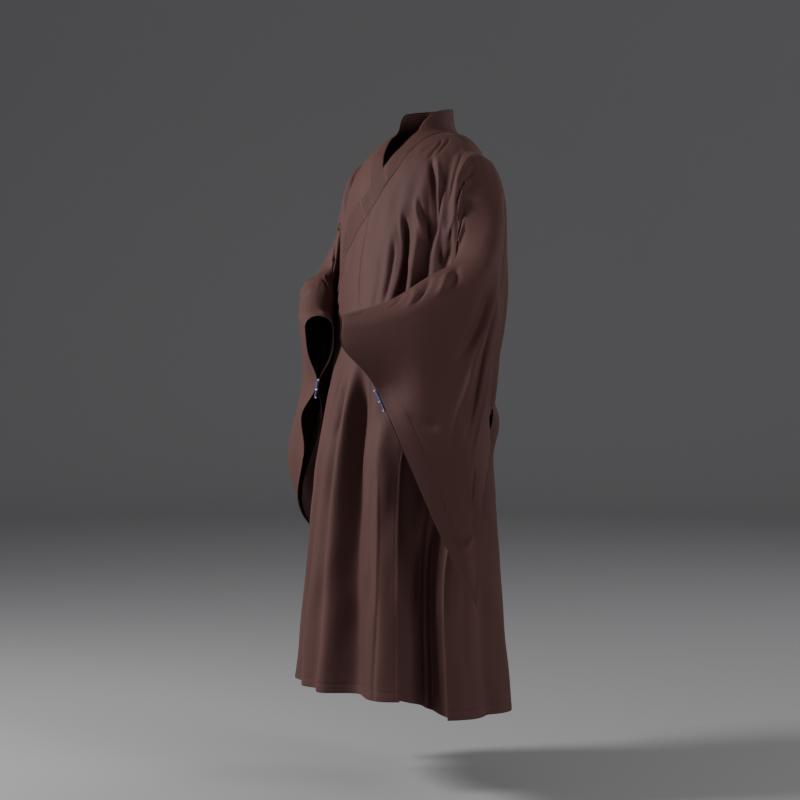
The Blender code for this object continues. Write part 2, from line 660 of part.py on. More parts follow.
def joined_section(station, share, side, sign):
    """The same, drawn to the armhole near the body."""
    place = hanging_section(station, share, side, sign)
    if station < 2.0:
        start = hanging_section(0.0, share, side, sign)
        root = root_point(share, side, sign)
        place += (root - start) * (1 - smooth(station / 2.0)) ** 1.5
        along_body = (1 - smooth(station / LEAVING_STATIONS)) * (1 - smooth((share - 0.34) / 0.16))
        if along_body > 0:
            place += (past_armhole((place - root).length, share, side, sign) - place) * along_body
    return place


def middle_normal(station, share, sign):
    """The way from the front layer to the back one, square to the sleeve's middle plane."""

    def middle(s, t):
        return (joined_section(s, t, 1, sign) + joined_section(s, t, -1, sign)) / 2

    along = middle(min(station + 0.05, SLEEVE_STATIONS), share) - middle(max(station - 0.05, 0.0), share)
    down = middle(station, min(share + 0.02, 1.0)) - middle(station, max(share - 0.02, 0.0))
    faces = math.radians(sleeve_row(station, sign)[8])
    normal = along.cross(down).normalized()
    return normal if normal.dot((sign * math.cos(faces), math.sin(faces), 0.0)) > 0 else -normal


def sleeve_form(station, share, side, sign):
    place = joined_section(station, share, side, sign)
    if share > 0.5:
        least = BOTTOM_GAPE * smooth(station / 0.3) * smooth((share - 0.5) / 0.3)
        place += middle_normal(station, share, sign) * (least * side)
    return place


def sleeves():
    start = SEAM_GAP / 0.07
    for side_name, sign in (("left", 1), ("right", -1)):
        for half_name, side in (("front", -1), ("back", 1)):

            def point_at(across, down, side=side, sign=sign):
                station = start + (SLEEVE_STATIONS - start) * across
                share = 0.0005 + 0.9995 * down
                eps = 0.004
                a, b = max(station - eps, 0.0), min(station + eps, SLEEVE_STATIONS)
                c, d = max(share - eps, 0.0), min(share + eps, 1.0)
                along = sleeve_form(b, share, side, sign) - sleeve_form(a, share, side, sign)
                round_it = sleeve_form(station, d, side, sign) - sleeve_form(station, c, side, sign)
                return sleeve_form(station, share, side, sign), along.cross(round_it).normalized()

            rows, columns = ARMHOLE_COUNT + UNDERARM_COUNT, SLEEVE_ALONG_COUNT
            grid = [[point_at(i / columns, j / rows) for i in range(columns + 1)] for j in range(rows + 1)]
            wall(f"sleeve_{side_name}_{half_name}", grid)


def cuff_ties():
    """A short cord, sewn along the two cuff edges where they are drawn together."""
    for name, sign in (("cuff_tie_left", 1), ("cuff_tie_right", -1)):
        ends = []
        for share in (TIE_SHARE - 0.035, TIE_SHARE + 0.005, TIE_SHARE + 0.045):
            front = sleeve_form(SLEEVE_STATIONS, share, -1, sign)
            back = sleeve_form(SLEEVE_STATIONS, share, 1, sign)
            ends.append((front + back) / 2)
        along = (ends[2] - ends[0]).normalized()
        inner = sleeve_form(SLEEVE_STATIONS - 0.2, TIE_SHARE, 1, sign)
        out = (ends[0] - inner).normalized()
        out = (out - along * out.dot(along)).normalized()
        edge = ends[1] if sign > 0 else (ends[0] + ends[2]) / 2
        centre = edge + out * (TIE_RADIUS + TIE_GAP)
        mesh = bpy.data.meshes.new(name)
        shape = bmesh.new()
        bmesh.ops.create_uvsphere(shape, u_segments=10, v_segments=8, radius=1.0)
        for point in shape.verts:
            point.co = Vector((point.co.x * TIE_RADIUS, point.co.y * TIE_RADIUS, point.co.z * TIE_LENGTH / 2))
        shape.to_mesh(mesh)
        shape.free()
        mesh.shade_smooth()
        mesh.materials.append(material(f"{name}_cord", TIE_BLUE, 0.6))
        piece = bpy.data.objects.new(name, mesh)
        piece.rotation_mode = "QUATERNION"
        piece.rotation_quaternion = along.to_track_quat("Z", "Y")
        piece.location = centre - Vector((0.0, 0.0, MOUNT_HEIGHT))
        bpy.context.scene.collection.objects.link(piece)


def main():
    for old in list(bpy.data.objects):
        bpy.data.objects.remove(old)
    front_panels()
    back_panels()
    side_pleats()
    collar_bands()
    sleeves()
    cuff_ties()


main()
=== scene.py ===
"""A Buddhist monk's long robe with deep bag sleeves, its two cuffs brought together in front of the waist.

Every cloth piece is a thin shell on the hollow form that its solid has, made much finer, with its creases,
seams, hems and stitches. The body is given by an angle round the robe's middle line and a run down the
cloth from the neck seam. Angles are in degrees from the front, positive towards the robe's own left (+X).
The front faces -Y.
"""

import math

import bmesh
import bpy
import numpy as np
from mathutils import Matrix, Vector


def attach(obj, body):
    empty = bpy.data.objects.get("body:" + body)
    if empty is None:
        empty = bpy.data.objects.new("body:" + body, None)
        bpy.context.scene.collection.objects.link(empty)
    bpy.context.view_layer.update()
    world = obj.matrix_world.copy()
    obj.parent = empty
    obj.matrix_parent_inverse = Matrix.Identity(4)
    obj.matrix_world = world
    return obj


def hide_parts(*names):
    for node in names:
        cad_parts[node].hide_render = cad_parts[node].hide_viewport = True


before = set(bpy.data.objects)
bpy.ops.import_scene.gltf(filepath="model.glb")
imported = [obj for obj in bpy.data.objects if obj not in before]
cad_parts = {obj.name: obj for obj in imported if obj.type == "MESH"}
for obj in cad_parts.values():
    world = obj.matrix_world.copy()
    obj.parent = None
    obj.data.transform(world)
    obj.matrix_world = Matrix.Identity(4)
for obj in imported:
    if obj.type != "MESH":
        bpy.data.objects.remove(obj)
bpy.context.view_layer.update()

# Sizes of the robe, in metres.
MOUNT_HEIGHT = 1.500
SHELL = 0.0013
SEAM_GAP = 0.0003
CORNER_GAP = 0.0002
LAYER = 0.0022
CLOSEST_LINES = 0.0011
HEM_FRONT_RUN = 1.340
HEM_BACK_RUN = 1.378
METRES_PER_DEGREE = 0.0036

# The hollow form of the body, one row for each level, from the top of the standing collar to the hem.
# Columns: run, height, half width, half depth, centre y.
SECTIONS = (
    (-0.060, 1.560, 0.0610, 0.0620, 0.0170),
    (-0.020, 1.520, 0.0650, 0.0640, 0.0180),
    (0.000, 1.501, 0.0750, 0.0680, 0.0180),
    (0.040, 1.486, 0.1140, 0.0800, 0.0165),
    (0.080, 1.466, 0.1500, 0.0910, 0.0120),
    (0.120, 1.439, 0.1790, 0.1030, 0.0045),
    (0.180, 1.386, 0.1990, 0.1160, -0.0050),
    (0.270, 1.300, 0.2050, 0.1250, -0.0140),
    (0.350, 1.220, 0.2050, 0.1310, -0.0200),
    (0.465, 1.105, 0.2050, 0.1410, -0.0310),
    (0.620, 0.950, 0.2100, 0.1500, -0.0410),
    (0.730, 0.840, 0.2220, 0.1580, -0.0480),
    (0.820, 0.750, 0.2360, 0.1690, -0.0540),
    (0.920, 0.650, 0.2500, 0.1750, -0.0590),
    (1.060, 0.510, 0.2650, 0.1840, -0.0620),
    (1.200, 0.370, 0.2800, 0.1930, -0.0630),
    (1.400, 0.170, 0.3020, 0.2090, -0.0640),
)

# The large folds of the body, the same as in the solids: where each starts and ends, its angle there, its
# depth (a ridge is positive) and its half width in degrees at the top and the bottom.
# Columns: top run, end run, top angle, end angle, depth, top half, end half.
FOLDS = {
    "front_ridge_right": (0.66, 1.60, -15.0, -24.0, 0.009, 6.0, 8.0),
    "front_trough_right": (0.62, 1.60, -8.5, -14.0, -0.008, 3.2, 5.0),
    "front_ridge_middle": (0.58, 1.60, -1.0, -2.5, 0.022, 4.0, 6.5),
    "front_trough_middle": (0.58, 1.60, 4.5, 15.0, -0.036, 4.5, 9.5),
    "front_ridge_left": (0.66, 1.60, 26.0, 34.0, 0.018, 8.0, 8.0),
    "overlap_trough": (0.75, 1.60, -30.0, -34.0, -0.012, 6.0, 7.0),
    "chest_trough_left": (0.22, 0.58, 31.0, 32.0, -0.020, 4.6, 4.6),
    "chest_ridge_left": (0.22, 0.60, 38.0, 39.0, 0.008, 4.4, 4.4),
    "chest_trough_arm": (0.14, 0.56, 45.0, 49.0, -0.014, 4.6, 4.8),
    "chest_trough_right": (0.20, 0.60, -38.0, -44.0, -0.006, 4.5, 5.0),
    "back_trough_left_side": (0.45, 1.60, 104.0, 96.0, -0.020, 8.0, 9.0),
    "back_ridge_left_side": (0.40, 1.60, 122.0, 118.0, 0.010, 8.0, 9.0),
    "back_trough_left": (0.30, 1.60, 142.0, 140.0, -0.022, 8.0, 9.0),
    "back_ridge_left": (0.30, 1.60, 160.0, 159.0, 0.009, 8.0, 8.0),
    "back_ridge_right": (0.30, 1.60, -159.0, -157.0, 0.010, 8.0, 8.0),
    "back_trough_right": (0.30, 1.60, -141.0, -137.0, -0.020, 8.0, 9.0),
    "back_ridge_right_side": (0.40, 1.60, -121.0, -116.0, 0.011, 8.0, 9.0),
    "back_trough_right_side": (0.45, 1.60, -106.0, -101.0, -0.016, 8.0, 9.0),
}
UNDERARM_CORNER_RUN = 0.728
UNDERARM_CORNER_ANGLE = 130.0
UNDERARM_CORNER_DEPTH = 0.024
UNDERARM_CORNER_HALF_RUN = 0.090
UNDERARM_CORNER_HALF_ANGLE = 26.0

# Edge lines on the form, as (angle, run) pairs from top to bottom, for the robe's left side.
SHOULDER_SEAM = ((90, 0.0088), (90, 0.085))
ARMHOLE_FRONT = ((90, 0.085), (68, 0.108), (60, 0.150), (56.5, 0.27), (57.5, 0.43), (60, 0.58), (62, 0.66))
ARMHOLE_BACK = ((90, 0.085), (112, 0.108), (120, 0.150), (123, 0.27), (123, 0.43), (122, 0.58), (118, 0.70))
UNDERARM_FRONT = ((62, 0.66), (66, 0.695), (75, 0.723), (88, 0.735))
UNDERARM_BACK = ((118, 0.70), (112, 0.716), (102, 0.729), (88, 0.735))
VENT_FRONT = ((62, 0.66), (53, 0.70), (45, 0.75), (40.5, 0.83), (39.8, 1.06), (40.8, HEM_FRONT_RUN))
VENT_FRONT_RIGHT = ((62, 0.66), (59, 0.70), (56, 0.75), (54, 0.83), (53, 1.06), (53.5, HEM_FRONT_RUN))
VENT_BACK = ((118, 0.70), (114, 0.755), (98, 0.84), (78, 0.93), (67, 1.06), (65.5, HEM_BACK_RUN))
VENT_BACK_RIGHT = ((118, 0.70), (116, 0.755), (105, 0.84), (92, 0.93), (83, 1.06), (81, HEM_BACK_RUN))
CENTRE_SEAM = (
    (-4.4, 0.2548), (-8, 0.36), (-2, 0.48), (8.5, 0.60), (11.5, 0.70), (17, 0.95), (21, HEM_FRONT_RUN),
)
CENTRE_BACK = ((180, 0.0043), (180, 0.70), (180, HEM_BACK_RUN))
UNDER_EDGE = ((24, 0.309), (26, 0.60), (27, 0.90), (28, HEM_FRONT_RUN))
OVERLAP_EDGE = (
    (-54, 0.4403), (-51, 0.50), (-49, 0.60), (-49, 0.70), (-49.5, 0.78), (-50, 0.86), (-50, 1.06),
    (-50.5, HEM_FRONT_RUN),
)
PLEAT_LAP = 0.005
PLEAT_DROP = 0.0045

# The collar band of the overlapping side: its seam with the panels and its free edge, from the nape forwards.
# Columns: seam angle, seam run, free angle, free run.
COLLAR = (
    (180, 0.004, 180, -0.055),
    (130, 0.004, 136, -0.054),
    (90, 0.0085, 100, -0.050),
    (64, 0.022, 70, -0.042),
    (44, 0.045, 44, -0.020),
    (31, 0.073, 28, 0.012),
    (22, 0.108, 17.5, 0.053),
    (15.5, 0.150, 9.5, 0.098),
    (8.5, 0.190, 2, 0.143),
    (1.5, 0.229, -6, 0.182),
    (-4.4, 0.2545, -13, 0.211),
    (-14, 0.290, -24, 0.242),
    (-31, 0.351, -40, 0.276),
    (-54, 0.440, -55, 0.318),
)

# Steps of the coarse grids of the solids along each seam, and how many fine ones lie in each.
SHOULDER_COUNT = 4
ARMHOLE_COUNT = 10
UNDERARM_COUNT = 7
VENT_COUNT = 11
NECK_BACK_COUNT = 9
FRONT_TOP_COUNT = 17
OVERLAP_TOP_COUNT = 12
UNDERLAP_TOP_COUNT = 14
SLEEVE_ALONG_COUNT = 15
FINE_ACROSS = 4
FINE_DOWN = 11
COLLAR_FINE_ACROSS = 8
COLLAR_ROWS = 22
SLEEVE_FINE_ACROSS = 7
SLEEVE_FINE_DOWN = 7
FIRST_PASSES = 400
LAST_PASSES = 60

# The sleeves, one row for each section from the armhole to the cuff: the point over the arm, the point on the
# bottom seam, how far the line between them bows, the direction the outer layer faces (degrees from the
# sideways axis towards the back), the arm's radius in the cloth, and half the gap between the layers below.
# The right sleeve's sideways sizes are towards the robe's right.
# Columns: top x, top y, top height, bottom x, bottom y, bottom height, bow x, bow y, faces, arm radius,
# gape.
SLEEVE_LEFT = {
    "armhole": (0.155, 0.012, 1.462, 0.222, -0.048, 0.835, 0.0, 0.0, 90.0, 0.080, 0.090),
    "shoulder": (0.213, -0.005, 1.432, 0.258, -0.035, 0.838, 0.0, 0.0, 72.0, 0.062, 0.056),
    "upper_arm": (0.245, -0.030, 1.330, 0.293, -0.045, 0.795, 0.0, 0.0, 50.0, 0.052, 0.044),
    "elbow": (0.263, -0.085, 1.215, 0.316, -0.080, 0.715, 0.0, 0.0, 10.0, 0.048, 0.030),
    "forearm": (0.215, -0.150, 1.165, 0.326, -0.105, 0.635, 0.0, 0.0, -22.0, 0.048, 0.026),
    "low_forearm": (0.155, -0.220, 1.110, 0.332, -0.112, 0.540, 0.0, 0.0, -33.0, 0.044, 0.026),
    "cuff": (0.085, -0.290, 1.078, 0.333, -0.117, 0.442, 0.0, -0.010, -35.0, 0.036, 0.026),
}
SLEEVE_RIGHT = {
    "armhole": (0.155, 0.012, 1.462, 0.222, -0.048, 0.835, 0.0, 0.0, 90.0, 0.080, 0.090),
    "shoulder": (0.213, -0.005, 1.432, 0.258, -0.033, 0.838, 0.0, 0.0, 72.0, 0.062, 0.056),
    "upper_arm": (0.246, -0.028, 1.325, 0.291, -0.024, 0.800, 0.0, 0.0, 50.0, 0.052, 0.044),
    "elbow": (0.258, -0.078, 1.205, 0.312, -0.010, 0.730, 0.005, -0.010, 14.0, 0.048, 0.030),
    "forearm": (0.208, -0.144, 1.152, 0.320, 0.005, 0.655, 0.012, -0.028, -18.0, 0.046, 0.026),
    "low_forearm": (0.145, -0.200, 1.100, 0.322, 0.026, 0.575, 0.040, -0.078, -30.0, 0.042, 0.027),
    "cuff": (0.077, -0.238, 1.078, 0.318, 0.022, 0.500, 0.045, -0.092, -38.0, 0.034, 0.028),
}
SLEEVE_STATIONS = len(SLEEVE_LEFT) - 1
METRES_PER_STATION = 0.09
METRES_PER_SHARE = 0.62
ARM_SHARE = 0.24
BOTTOM_GAPE = SHELL / 2 + 0.0003
PINCH_HALF_SHARE = 0.07
SLEEVE_START = 0.002
CLOSING_LEFT = (0.30, 0.60)
CLOSING_RIGHT = (0.50, 0.46)
CUFF_NOSE = (-0.020, -0.026)
CUFF_NOSE_DROP = 0.105
CUFF_NOSE_HALF = 0.082
CUFF_CURL = 0.060
CUFF_BACK = (0.032, 0.028)
LEAVING_STATIONS = 1.1

# The stitched bar that joins the two cuff edges below the sleeve's opening.
TIE_SHARE = 0.42
TIE_LENGTH = 0.050
TIE_RADIUS = 0.0022
TIE_GAP = 0.0004

# Creases of the body: points as (angle, run), then the depth and the half width in metres.
BODY_CREASES = {
    "deep_by_the_arm": (
        (42.1, 0.105), (45.4, 0.161), (48.4, 0.198), (51.8, 0.297), (49.2, 0.370), -0.0095, 0.0075,
    ),
    "ridge_by_the_arm": ((47.5, 0.115), (51.0, 0.160), (53.0, 0.20), (54.0, 0.245), 0.0045, 0.0060),
    "beside_the_ridge": ((55.5, 0.195), (55.0, 0.25), (53.5, 0.325), -0.0060, 0.0060),
    "long_ridge_chest": ((33.5, 0.215), (37.0, 0.260), (42.0, 0.300), (48.0, 0.360), 0.0060, 0.0055),
    "beside_long_ridge": ((37.0, 0.220), (40.5, 0.262), (45.5, 0.302), (51.0, 0.355), -0.0050, 0.0055),
    "sharp_ridge": ((22.5, 0.245), (25.8, 0.300), (27.5, 0.348), (27.0, 0.410), (25.0, 0.475),
        0.0060, 0.0050),
    "beside_sharp_ridge": (
        (26.0, 0.250), (29.5, 0.305), (31.0, 0.350), (30.5, 0.410), (28.5, 0.475), -0.0070, 0.0060,
    ),
    "slot": ((20.5, 0.305), (21.5, 0.350), (21.5, 0.410), (19.5, 0.480), -0.0075, 0.0070),
    "second_line": ((30.0, 0.265), (33.0, 0.331), (38.0, 0.410), 0.0035, 0.0050),
    "soft_chest": ((12.0, 0.330), (13.5, 0.410), (11.0, 0.500), -0.0030, 0.0100),
    "below_collar": ((52.0, 0.070), (40.0, 0.098), (29.0, 0.125), -0.0026, 0.0040),
    "below_collar_outer": ((60.0, 0.058), (48.0, 0.100), (38.0, 0.140), -0.0032, 0.0045),
    "to_the_shoulder": ((70.0, 0.055), (57.0, 0.092), (47.0, 0.128), -0.0032, 0.0045),
    "right_shoulder": ((-36.0, 0.090), (-40.0, 0.130), (-44.0, 0.190), -0.0045, 0.0060),
    "right_shoulder_outer": ((-48.0, 0.090), (-52.0, 0.150), (-53.0, 0.230), -0.0040, 0.0065),
    "right_chest": ((-40.0, 0.270), (-46.0, 0.340), (-50.0, 0.430), -0.0060, 0.0080),
    "waist_pull": ((10.0, 0.560), (22.0, 0.590), (36.0, 0.600), -0.0040, 0.0070),
    "waist_pull_low": ((16.0, 0.615), (28.0, 0.635), (44.0, 0.630), -0.0035, 0.0070),
    "under_cuffs_right": ((-4.0, 0.620), (-9.0, 0.700), (-13.0, 0.790), -0.0040, 0.0060),
    "under_cuffs_far": ((-12.0, 0.600), (-22.0, 0.690), (-29.0, 0.800), -0.0045, 0.0070),
    "under_cuffs_ridge": ((-8.0, 0.610), (-15.0, 0.700), (-20.0, 0.800), 0.0035, 0.0060),
    "under_cuffs_left": ((12.0, 0.600), (15.5, 0.680), (17.0, 0.780), -0.0030, 0.0060),
    "thin_left": ((18.5, 0.820), (19.7, 0.946), (21.0, 1.120), (22.0, 1.300), 0.0022, 0.0035),
    "thin_left_outer": ((28.0, 0.800), (28.9, 0.941), (29.1, 1.204), 0.0022, 0.0035),
    "thin_left_trough": ((24.0, 0.760), (24.5, 0.940), (25.5, 1.180), -0.0022, 0.0060),
    "strip_by_vent": ((30.5, 1.080), (29.2, 1.200), (28.2, 1.420), -0.0035, 0.0045),
    "overlap_long": ((-22.0, 0.700), (-26.0, 0.950), (-29.0, 1.250), -0.0030, 0.0070),
    "overlap_outer": ((-33.0, 0.660), (-36.0, 0.900), (-40.0, 1.220), 0.0028, 0.0070),
    "overlap_edge": ((-42.0, 0.720), (-43.5, 0.900), (-45.0, 1.150), -0.0028, 0.0060),
    "back_blade_left": ((134.0, 0.200), (146.0, 0.300), (158.0, 0.350), -0.0040, 0.0090),
    "back_blade_right": ((-132.0, 0.190), (-148.0, 0.310), (-163.0, 0.370), -0.0045, 0.0090),
    "back_long_left": ((150.0, 0.300), (152.0, 0.520), (149.0, 0.760), -0.0045, 0.0090),
    "back_long_right": ((-149.0, 0.330), (-153.0, 0.560), (-150.0, 0.820), 0.0040, 0.0090),
    "back_middle": ((172.0, 0.420), (170.0, 0.640), (172.0, 0.900), -0.0035, 0.0100),
    "back_waist_left": ((108.0, 0.600), (126.0, 0.650), (150.0, 0.680), -0.0040, 0.0080),
    "back_waist_right": ((-106.0, 0.580), (-128.0, 0.640), (-156.0, 0.665), -0.0040, 0.0080),
    "back_low_left": ((126.0, 0.830), (129.0, 1.080), (127.0, 1.320), -0.0040, 0.0090),
    "back_low_right": ((-130.0, 0.860), (-127.0, 1.060), (-129.0, 1.330), -0.0045, 0.0100),
    "back_low_middle": ((-172.0, 0.880), (-170.0, 1.100), (-172.0, 1.340), 0.0040, 0.0090),
    "back_left_side": ((84.0, 0.960), (80.0, 1.100), (78.0, 1.320), -0.0040, 0.0080),
}

# Creases of a sleeve's layer: points as (station, share), then the depth and the half width in metres.
SLEEVE_CREASES = {
    "left_back": {
        "fall_from_elbow": (
            (2.9, 0.28), (3.2, 0.38), (3.74, 0.458), (4.37, 0.483), (5.2, 0.483), -0.0085, 0.013,
        ),
        "long_ridge": (
            (2.6, 0.24), (2.85, 0.38), (3.34, 0.500), (3.80, 0.601), (4.83, 0.677), 0.0095, 0.012,
        ),
        "deep_to_cuff": (
            (2.5, 0.32), (2.77, 0.475), (3.12, 0.567), (3.55, 0.68), (4.3, 0.745), (5.75, 0.752),
            -0.0125, 0.012,
        ),
        "below_deep": ((2.6, 0.60), (3.1, 0.74), (3.9, 0.83), (5.0, 0.85), 0.0050, 0.011),
        "bottom_trough": ((3.6, 0.86), (4.4, 0.90), (5.3, 0.90), -0.0030, 0.009),
        "outer_arm": ((1.6, 0.14), (2.1, 0.30), (2.4, 0.50), -0.0060, 0.012),
        "elbow_ridge": ((3.65, 0.06), (3.86, 0.15), (4.05, 0.23), 0.0070, 0.008),
        "elbow_trough": ((3.45, 0.03), (3.62, 0.13), (3.75, 0.22), -0.0060, 0.008),
        "forearm_trough": ((4.10, 0.02), (4.22, 0.11), (4.60, 0.20), -0.0060, 0.007),
        "forearm_ridge": ((4.42, 0.02), (4.49, 0.12), (4.75, 0.20), 0.0040, 0.006),
        "forearm_small": ((4.75, 0.03), (4.85, 0.09), (5.10, 0.14), -0.0035, 0.006),
        "wrist_small": ((5.82, 0.105), (5.65, 0.090), (5.45, 0.076), -0.0035, 0.0045),
        "tip_fold": ((5.93, 0.836), (5.3, 0.905), (4.7, 0.955), -0.0030, 0.005),
        "tack_pull": ((5.60, 0.485), (5.20, 0.55), (4.70, 0.60), -0.0040, 0.008),
        "shoulder_back": ((0.6, 0.10), (0.9, 0.20), (1.0, 0.34), -0.0060, 0.010),
        "back_long": ((1.1, 0.30), (1.3, 0.55), (1.9, 0.82), -0.0060, 0.013),
        "back_ridge": ((1.7, 0.34), (2.0, 0.56), (2.6, 0.84), 0.0055, 0.012),
    },
    "left_front": {
        "armpit": ((0.10, 0.30), (0.50, 0.335), (1.00, 0.35), -0.0080, 0.009),
        "armpit_ridge": ((0.15, 0.255), (0.60, 0.285), (1.20, 0.30), 0.0045, 0.008),
        "shoulder_first": ((0.35, 0.040), (0.62, 0.090), (0.66, 0.150), (0.60, 0.22), -0.0050, 0.0065),
        "shoulder_second": ((1.20, 0.020), (1.42, 0.080), (1.46, 0.190), (1.30, 0.27), -0.0055, 0.0070),
        "shoulder_ridge": ((0.85, 0.030), (1.02, 0.100), (1.05, 0.200), 0.0040, 0.0060),
        "elbow_pit": ((1.60, 0.16), (2.10, 0.23), (2.60, 0.22), -0.0080, 0.009),
        "elbow_inner": ((2.30, 0.10), (2.75, 0.16), (3.30, 0.17), -0.0060, 0.008),
        "elbow_inner_ridge": ((2.00, 0.11), (2.45, 0.18), (3.00, 0.21), 0.0045, 0.007),
        "inner_long": ((2.4, 0.35), (3.4, 0.55), (5.0, 0.62), -0.0050, 0.014),
    },
    "right_back": {
        "fall_from_elbow": ((2.8, 0.27), (3.3, 0.41), (4.1, 0.50), (5.1, 0.51), -0.0075, 0.013),
        "long_ridge": ((2.5, 0.26), (2.9, 0.42), (3.5, 0.56), (4.5, 0.66), 0.0080, 0.012),
        "deep_to_cuff": ((2.4, 0.34), (2.8, 0.52), (3.3, 0.66), (4.3, 0.75), (5.3, 0.77), -0.0095, 0.012),
        "outer_arm": ((1.5, 0.12), (2.0, 0.27), (2.3, 0.47), -0.0060, 0.012),
        "elbow_ridge": ((3.55, 0.05), (3.80, 0.16), (4.05, 0.26), 0.0065, 0.008),
        "elbow_trough": ((3.30, 0.04), (3.50, 0.14), (3.66, 0.24), -0.0060, 0.008),
        "forearm_trough": ((4.25, 0.03), (4.40, 0.12), (4.70, 0.19), -0.0050, 0.007),
        "back_long": ((1.0, 0.32), (1.3, 0.57), (1.8, 0.80), -0.0060, 0.013),
        "back_ridge": ((1.6, 0.33), (1.9, 0.58), (2.4, 0.82), 0.0055, 0.012),
        "shoulder_back": ((0.6, 0.09), (0.9, 0.21), (1.1, 0.33), -0.0055, 0.010),
    },
    "right_front": {
        "armpit": ((0.10, 0.29), (0.50, 0.33), (1.00, 0.36), -0.0075, 0.009),
        "shoulder_first": ((0.40, 0.040), (0.65, 0.095), (0.70, 0.170), -0.0045, 0.0065),
        "shoulder_second": ((1.10, 0.030), (1.32, 0.090), (1.35, 0.200), -0.0050, 0.0070),
        "elbow_pit": ((1.70, 0.15), (2.15, 0.22), (2.70, 0.21), -0.0070, 0.009),
        "elbow_inner": ((2.50, 0.09), (2.90, 0.15), (3.40, 0.16), -0.0055, 0.008),
        "forearm_front": ((3.60, 0.05), (4.10, 0.12), (4.60, 0.12), -0.0050, 0.007),
        "forearm_ridge": ((3.40, 0.04), (3.90, 0.09), (4.40, 0.09), 0.0040, 0.006),
        "inner_long": ((2.5, 0.34), (3.5, 0.52), (5.0, 0.58), -0.0040, 0.014),
    },
}

# Slight unevenness of hanging cloth: turns round the body, waves per metre down it, phase and depth.
# Columns: turns, down, phase, depth.
WAVES = (
    (5, 2.1, 0.4, 0.0011),
    (9, -1.3, 1.9, 0.0010),
    (14, 2.9, 4.1, 0.0008),
    (23, -3.7, 2.6, 0.0005),
    (31, 5.3, 5.2, 0.0004),
    (12, 7.9, 0.9, 0.0003),
)

VIEW_DISTANCE = 4.8
VIEW_AZIMUTH = 50.0
VIEW_HEIGHT = 1.077
PIXELS_PER_METRE = 431.0
PHOTO_PIXELS = 800
AXIS_PIXEL = (20.0, 84.0)
SENSOR = 36.0

# The lamps: place, aim, size across and power in watts.
LAMPS = {
    "key_light": ((-1.55, -2.55, 0.65), (0.0, 0.0, -0.25), 0.8, 115.0),
    "side_light": ((4.0, 0.9, 0.7), (0.0, 0.0, -0.4), 1.8, 50.0),
    "soft_light": ((3.2, -2.5, 0.2), (0.0, 0.0, -0.6), 2.4, 7.0),
    "back_light": ((1.0, 4.2, 1.6), (0.0, 0.0, -0.7), 2.4, 40.0),
}
ROOM_COLOUR = (0.9, 0.9, 0.92, 1.0)
ROOM_STRENGTH = 0.15
FLOOR_COLOUR = (0.42, 0.42, 0.43, 1.0)
FLOOR_RADIUS = 6.5
FLOOR_CURVE = 2.5
FLOOR_TOP = 5.0

# The finishes: the darker and the lighter colour of each cloth, and what both cloths share.
# The finish mixes the darker and the lighter colour by random mottle and by painted shade in the fine
# creases.
BROWN_DARK = (0.062, 0.0255, 0.0225)
BROWN_LIGHT = (0.103, 0.0450, 0.0400)
COLLAR_DARK = (0.064, 0.0250, 0.0220)
COLLAR_LIGHT = (0.105, 0.0430, 0.0390)
CLOTH_SHEEN = 0.05
CLOTH_ROUGHNESS = 0.70
THREAD_BROWN = (0.045, 0.022, 0.020)
THREAD_PALE = (0.30, 0.18, 0.17)
CORD_BLUE = (0.030, 0.045, 0.240)
BEAD_WHITE = (0.78, 0.78, 0.80)


# Curves and lines

def smooth(value):
    value = np.clip(value, 0.0, 1.0)
    return value * value * (3.0 - 2.0 * value)


def read(rows, x):
    """The columns after the first of a table at each x, along a smooth curve through its rows."""
    table = np.array(rows, float)
    x = np.asarray(x, float)
    last = len(table) - 1
    i = np.clip(np.searchsorted(table[:, 0], x, side="left") - 1, 0, last - 1)
    low, high = table[i], table[i + 1]
    before, after = table[np.maximum(i - 1, 0)], table[np.minimum(i + 2, last)]
    span = (high - low)[..., :1]
    t = np.clip((x[..., None] - low[..., :1]) / span, 0.0, 1.0)
    slope_low = (high - before) / (high - before)[..., :1]
    slope_high = (after - low) / (after - low)[..., :1]
    t2, t3 = t * t, t * t * t
    value = (2 * t3 - 3 * t2 + 1) * low + (t3 - 2 * t2 + t) * span * slope_low
    value += (3 * t2 - 2 * t3) * high + (t3 - t2) * span * slope_high
    return value[..., 1:]


def curve(points):
    """A line on the form through (angle, run) points, as a function of the share along it."""
    points = np.array(points, float)
    steps = np.diff(points, axis=0) * (METRES_PER_DEGREE, 1.0)
    lengths = np.concatenate(([0.0], np.cumsum(np.hypot(*steps.T))))
    rows = np.column_stack((lengths / lengths[-1], points))
    return lambda share: read(rows, np.clip(share, 0.0, 1.0))


def part_of(line, low, high):
    return lambda share: line(low + (high - low) * np.asarray(share, float))


def reverse(line):
    return lambda share: line(1.0 - np.asarray(share, float))


def mirror(line):
    return lambda share: line(share) * (-1.0, 1.0)


def moved(line, angle=0.0, run=0.0):
    return lambda share: line(share) + (angle, run)


def beside(line, distance):
    """A line beside another on the cloth, to the left of its way for a positive distance."""

    def at(share):
        share = np.asarray(share, float)
        step = line(np.minimum(share + 0.01, 1.0)) - line(np.maximum(share - 0.01, 0.0))
        across, down = step[..., 0] * METRES_PER_DEGREE, step[..., 1]
        length = np.hypot(across, down)
        shift = np.stack((down / METRES_PER_DEGREE, -across), axis=-1) * (distance / length)[..., None]
        return line(share) + shift

    return at


def chain(*parts):
    """Lines end to end, each with its count of grid steps, as one line."""
    total = sum(count for line, count in parts)

    def at(share):
        step = np.clip(share, 0.0, 1.0) * total
        start = 0
        place = None
        for line, count in parts:
            here = line(np.clip((step - start) / count, 0.0, 1.0))
            place = here if place is None else np.where((step > start)[..., None], here, place)
            start += count
        return place

    return at


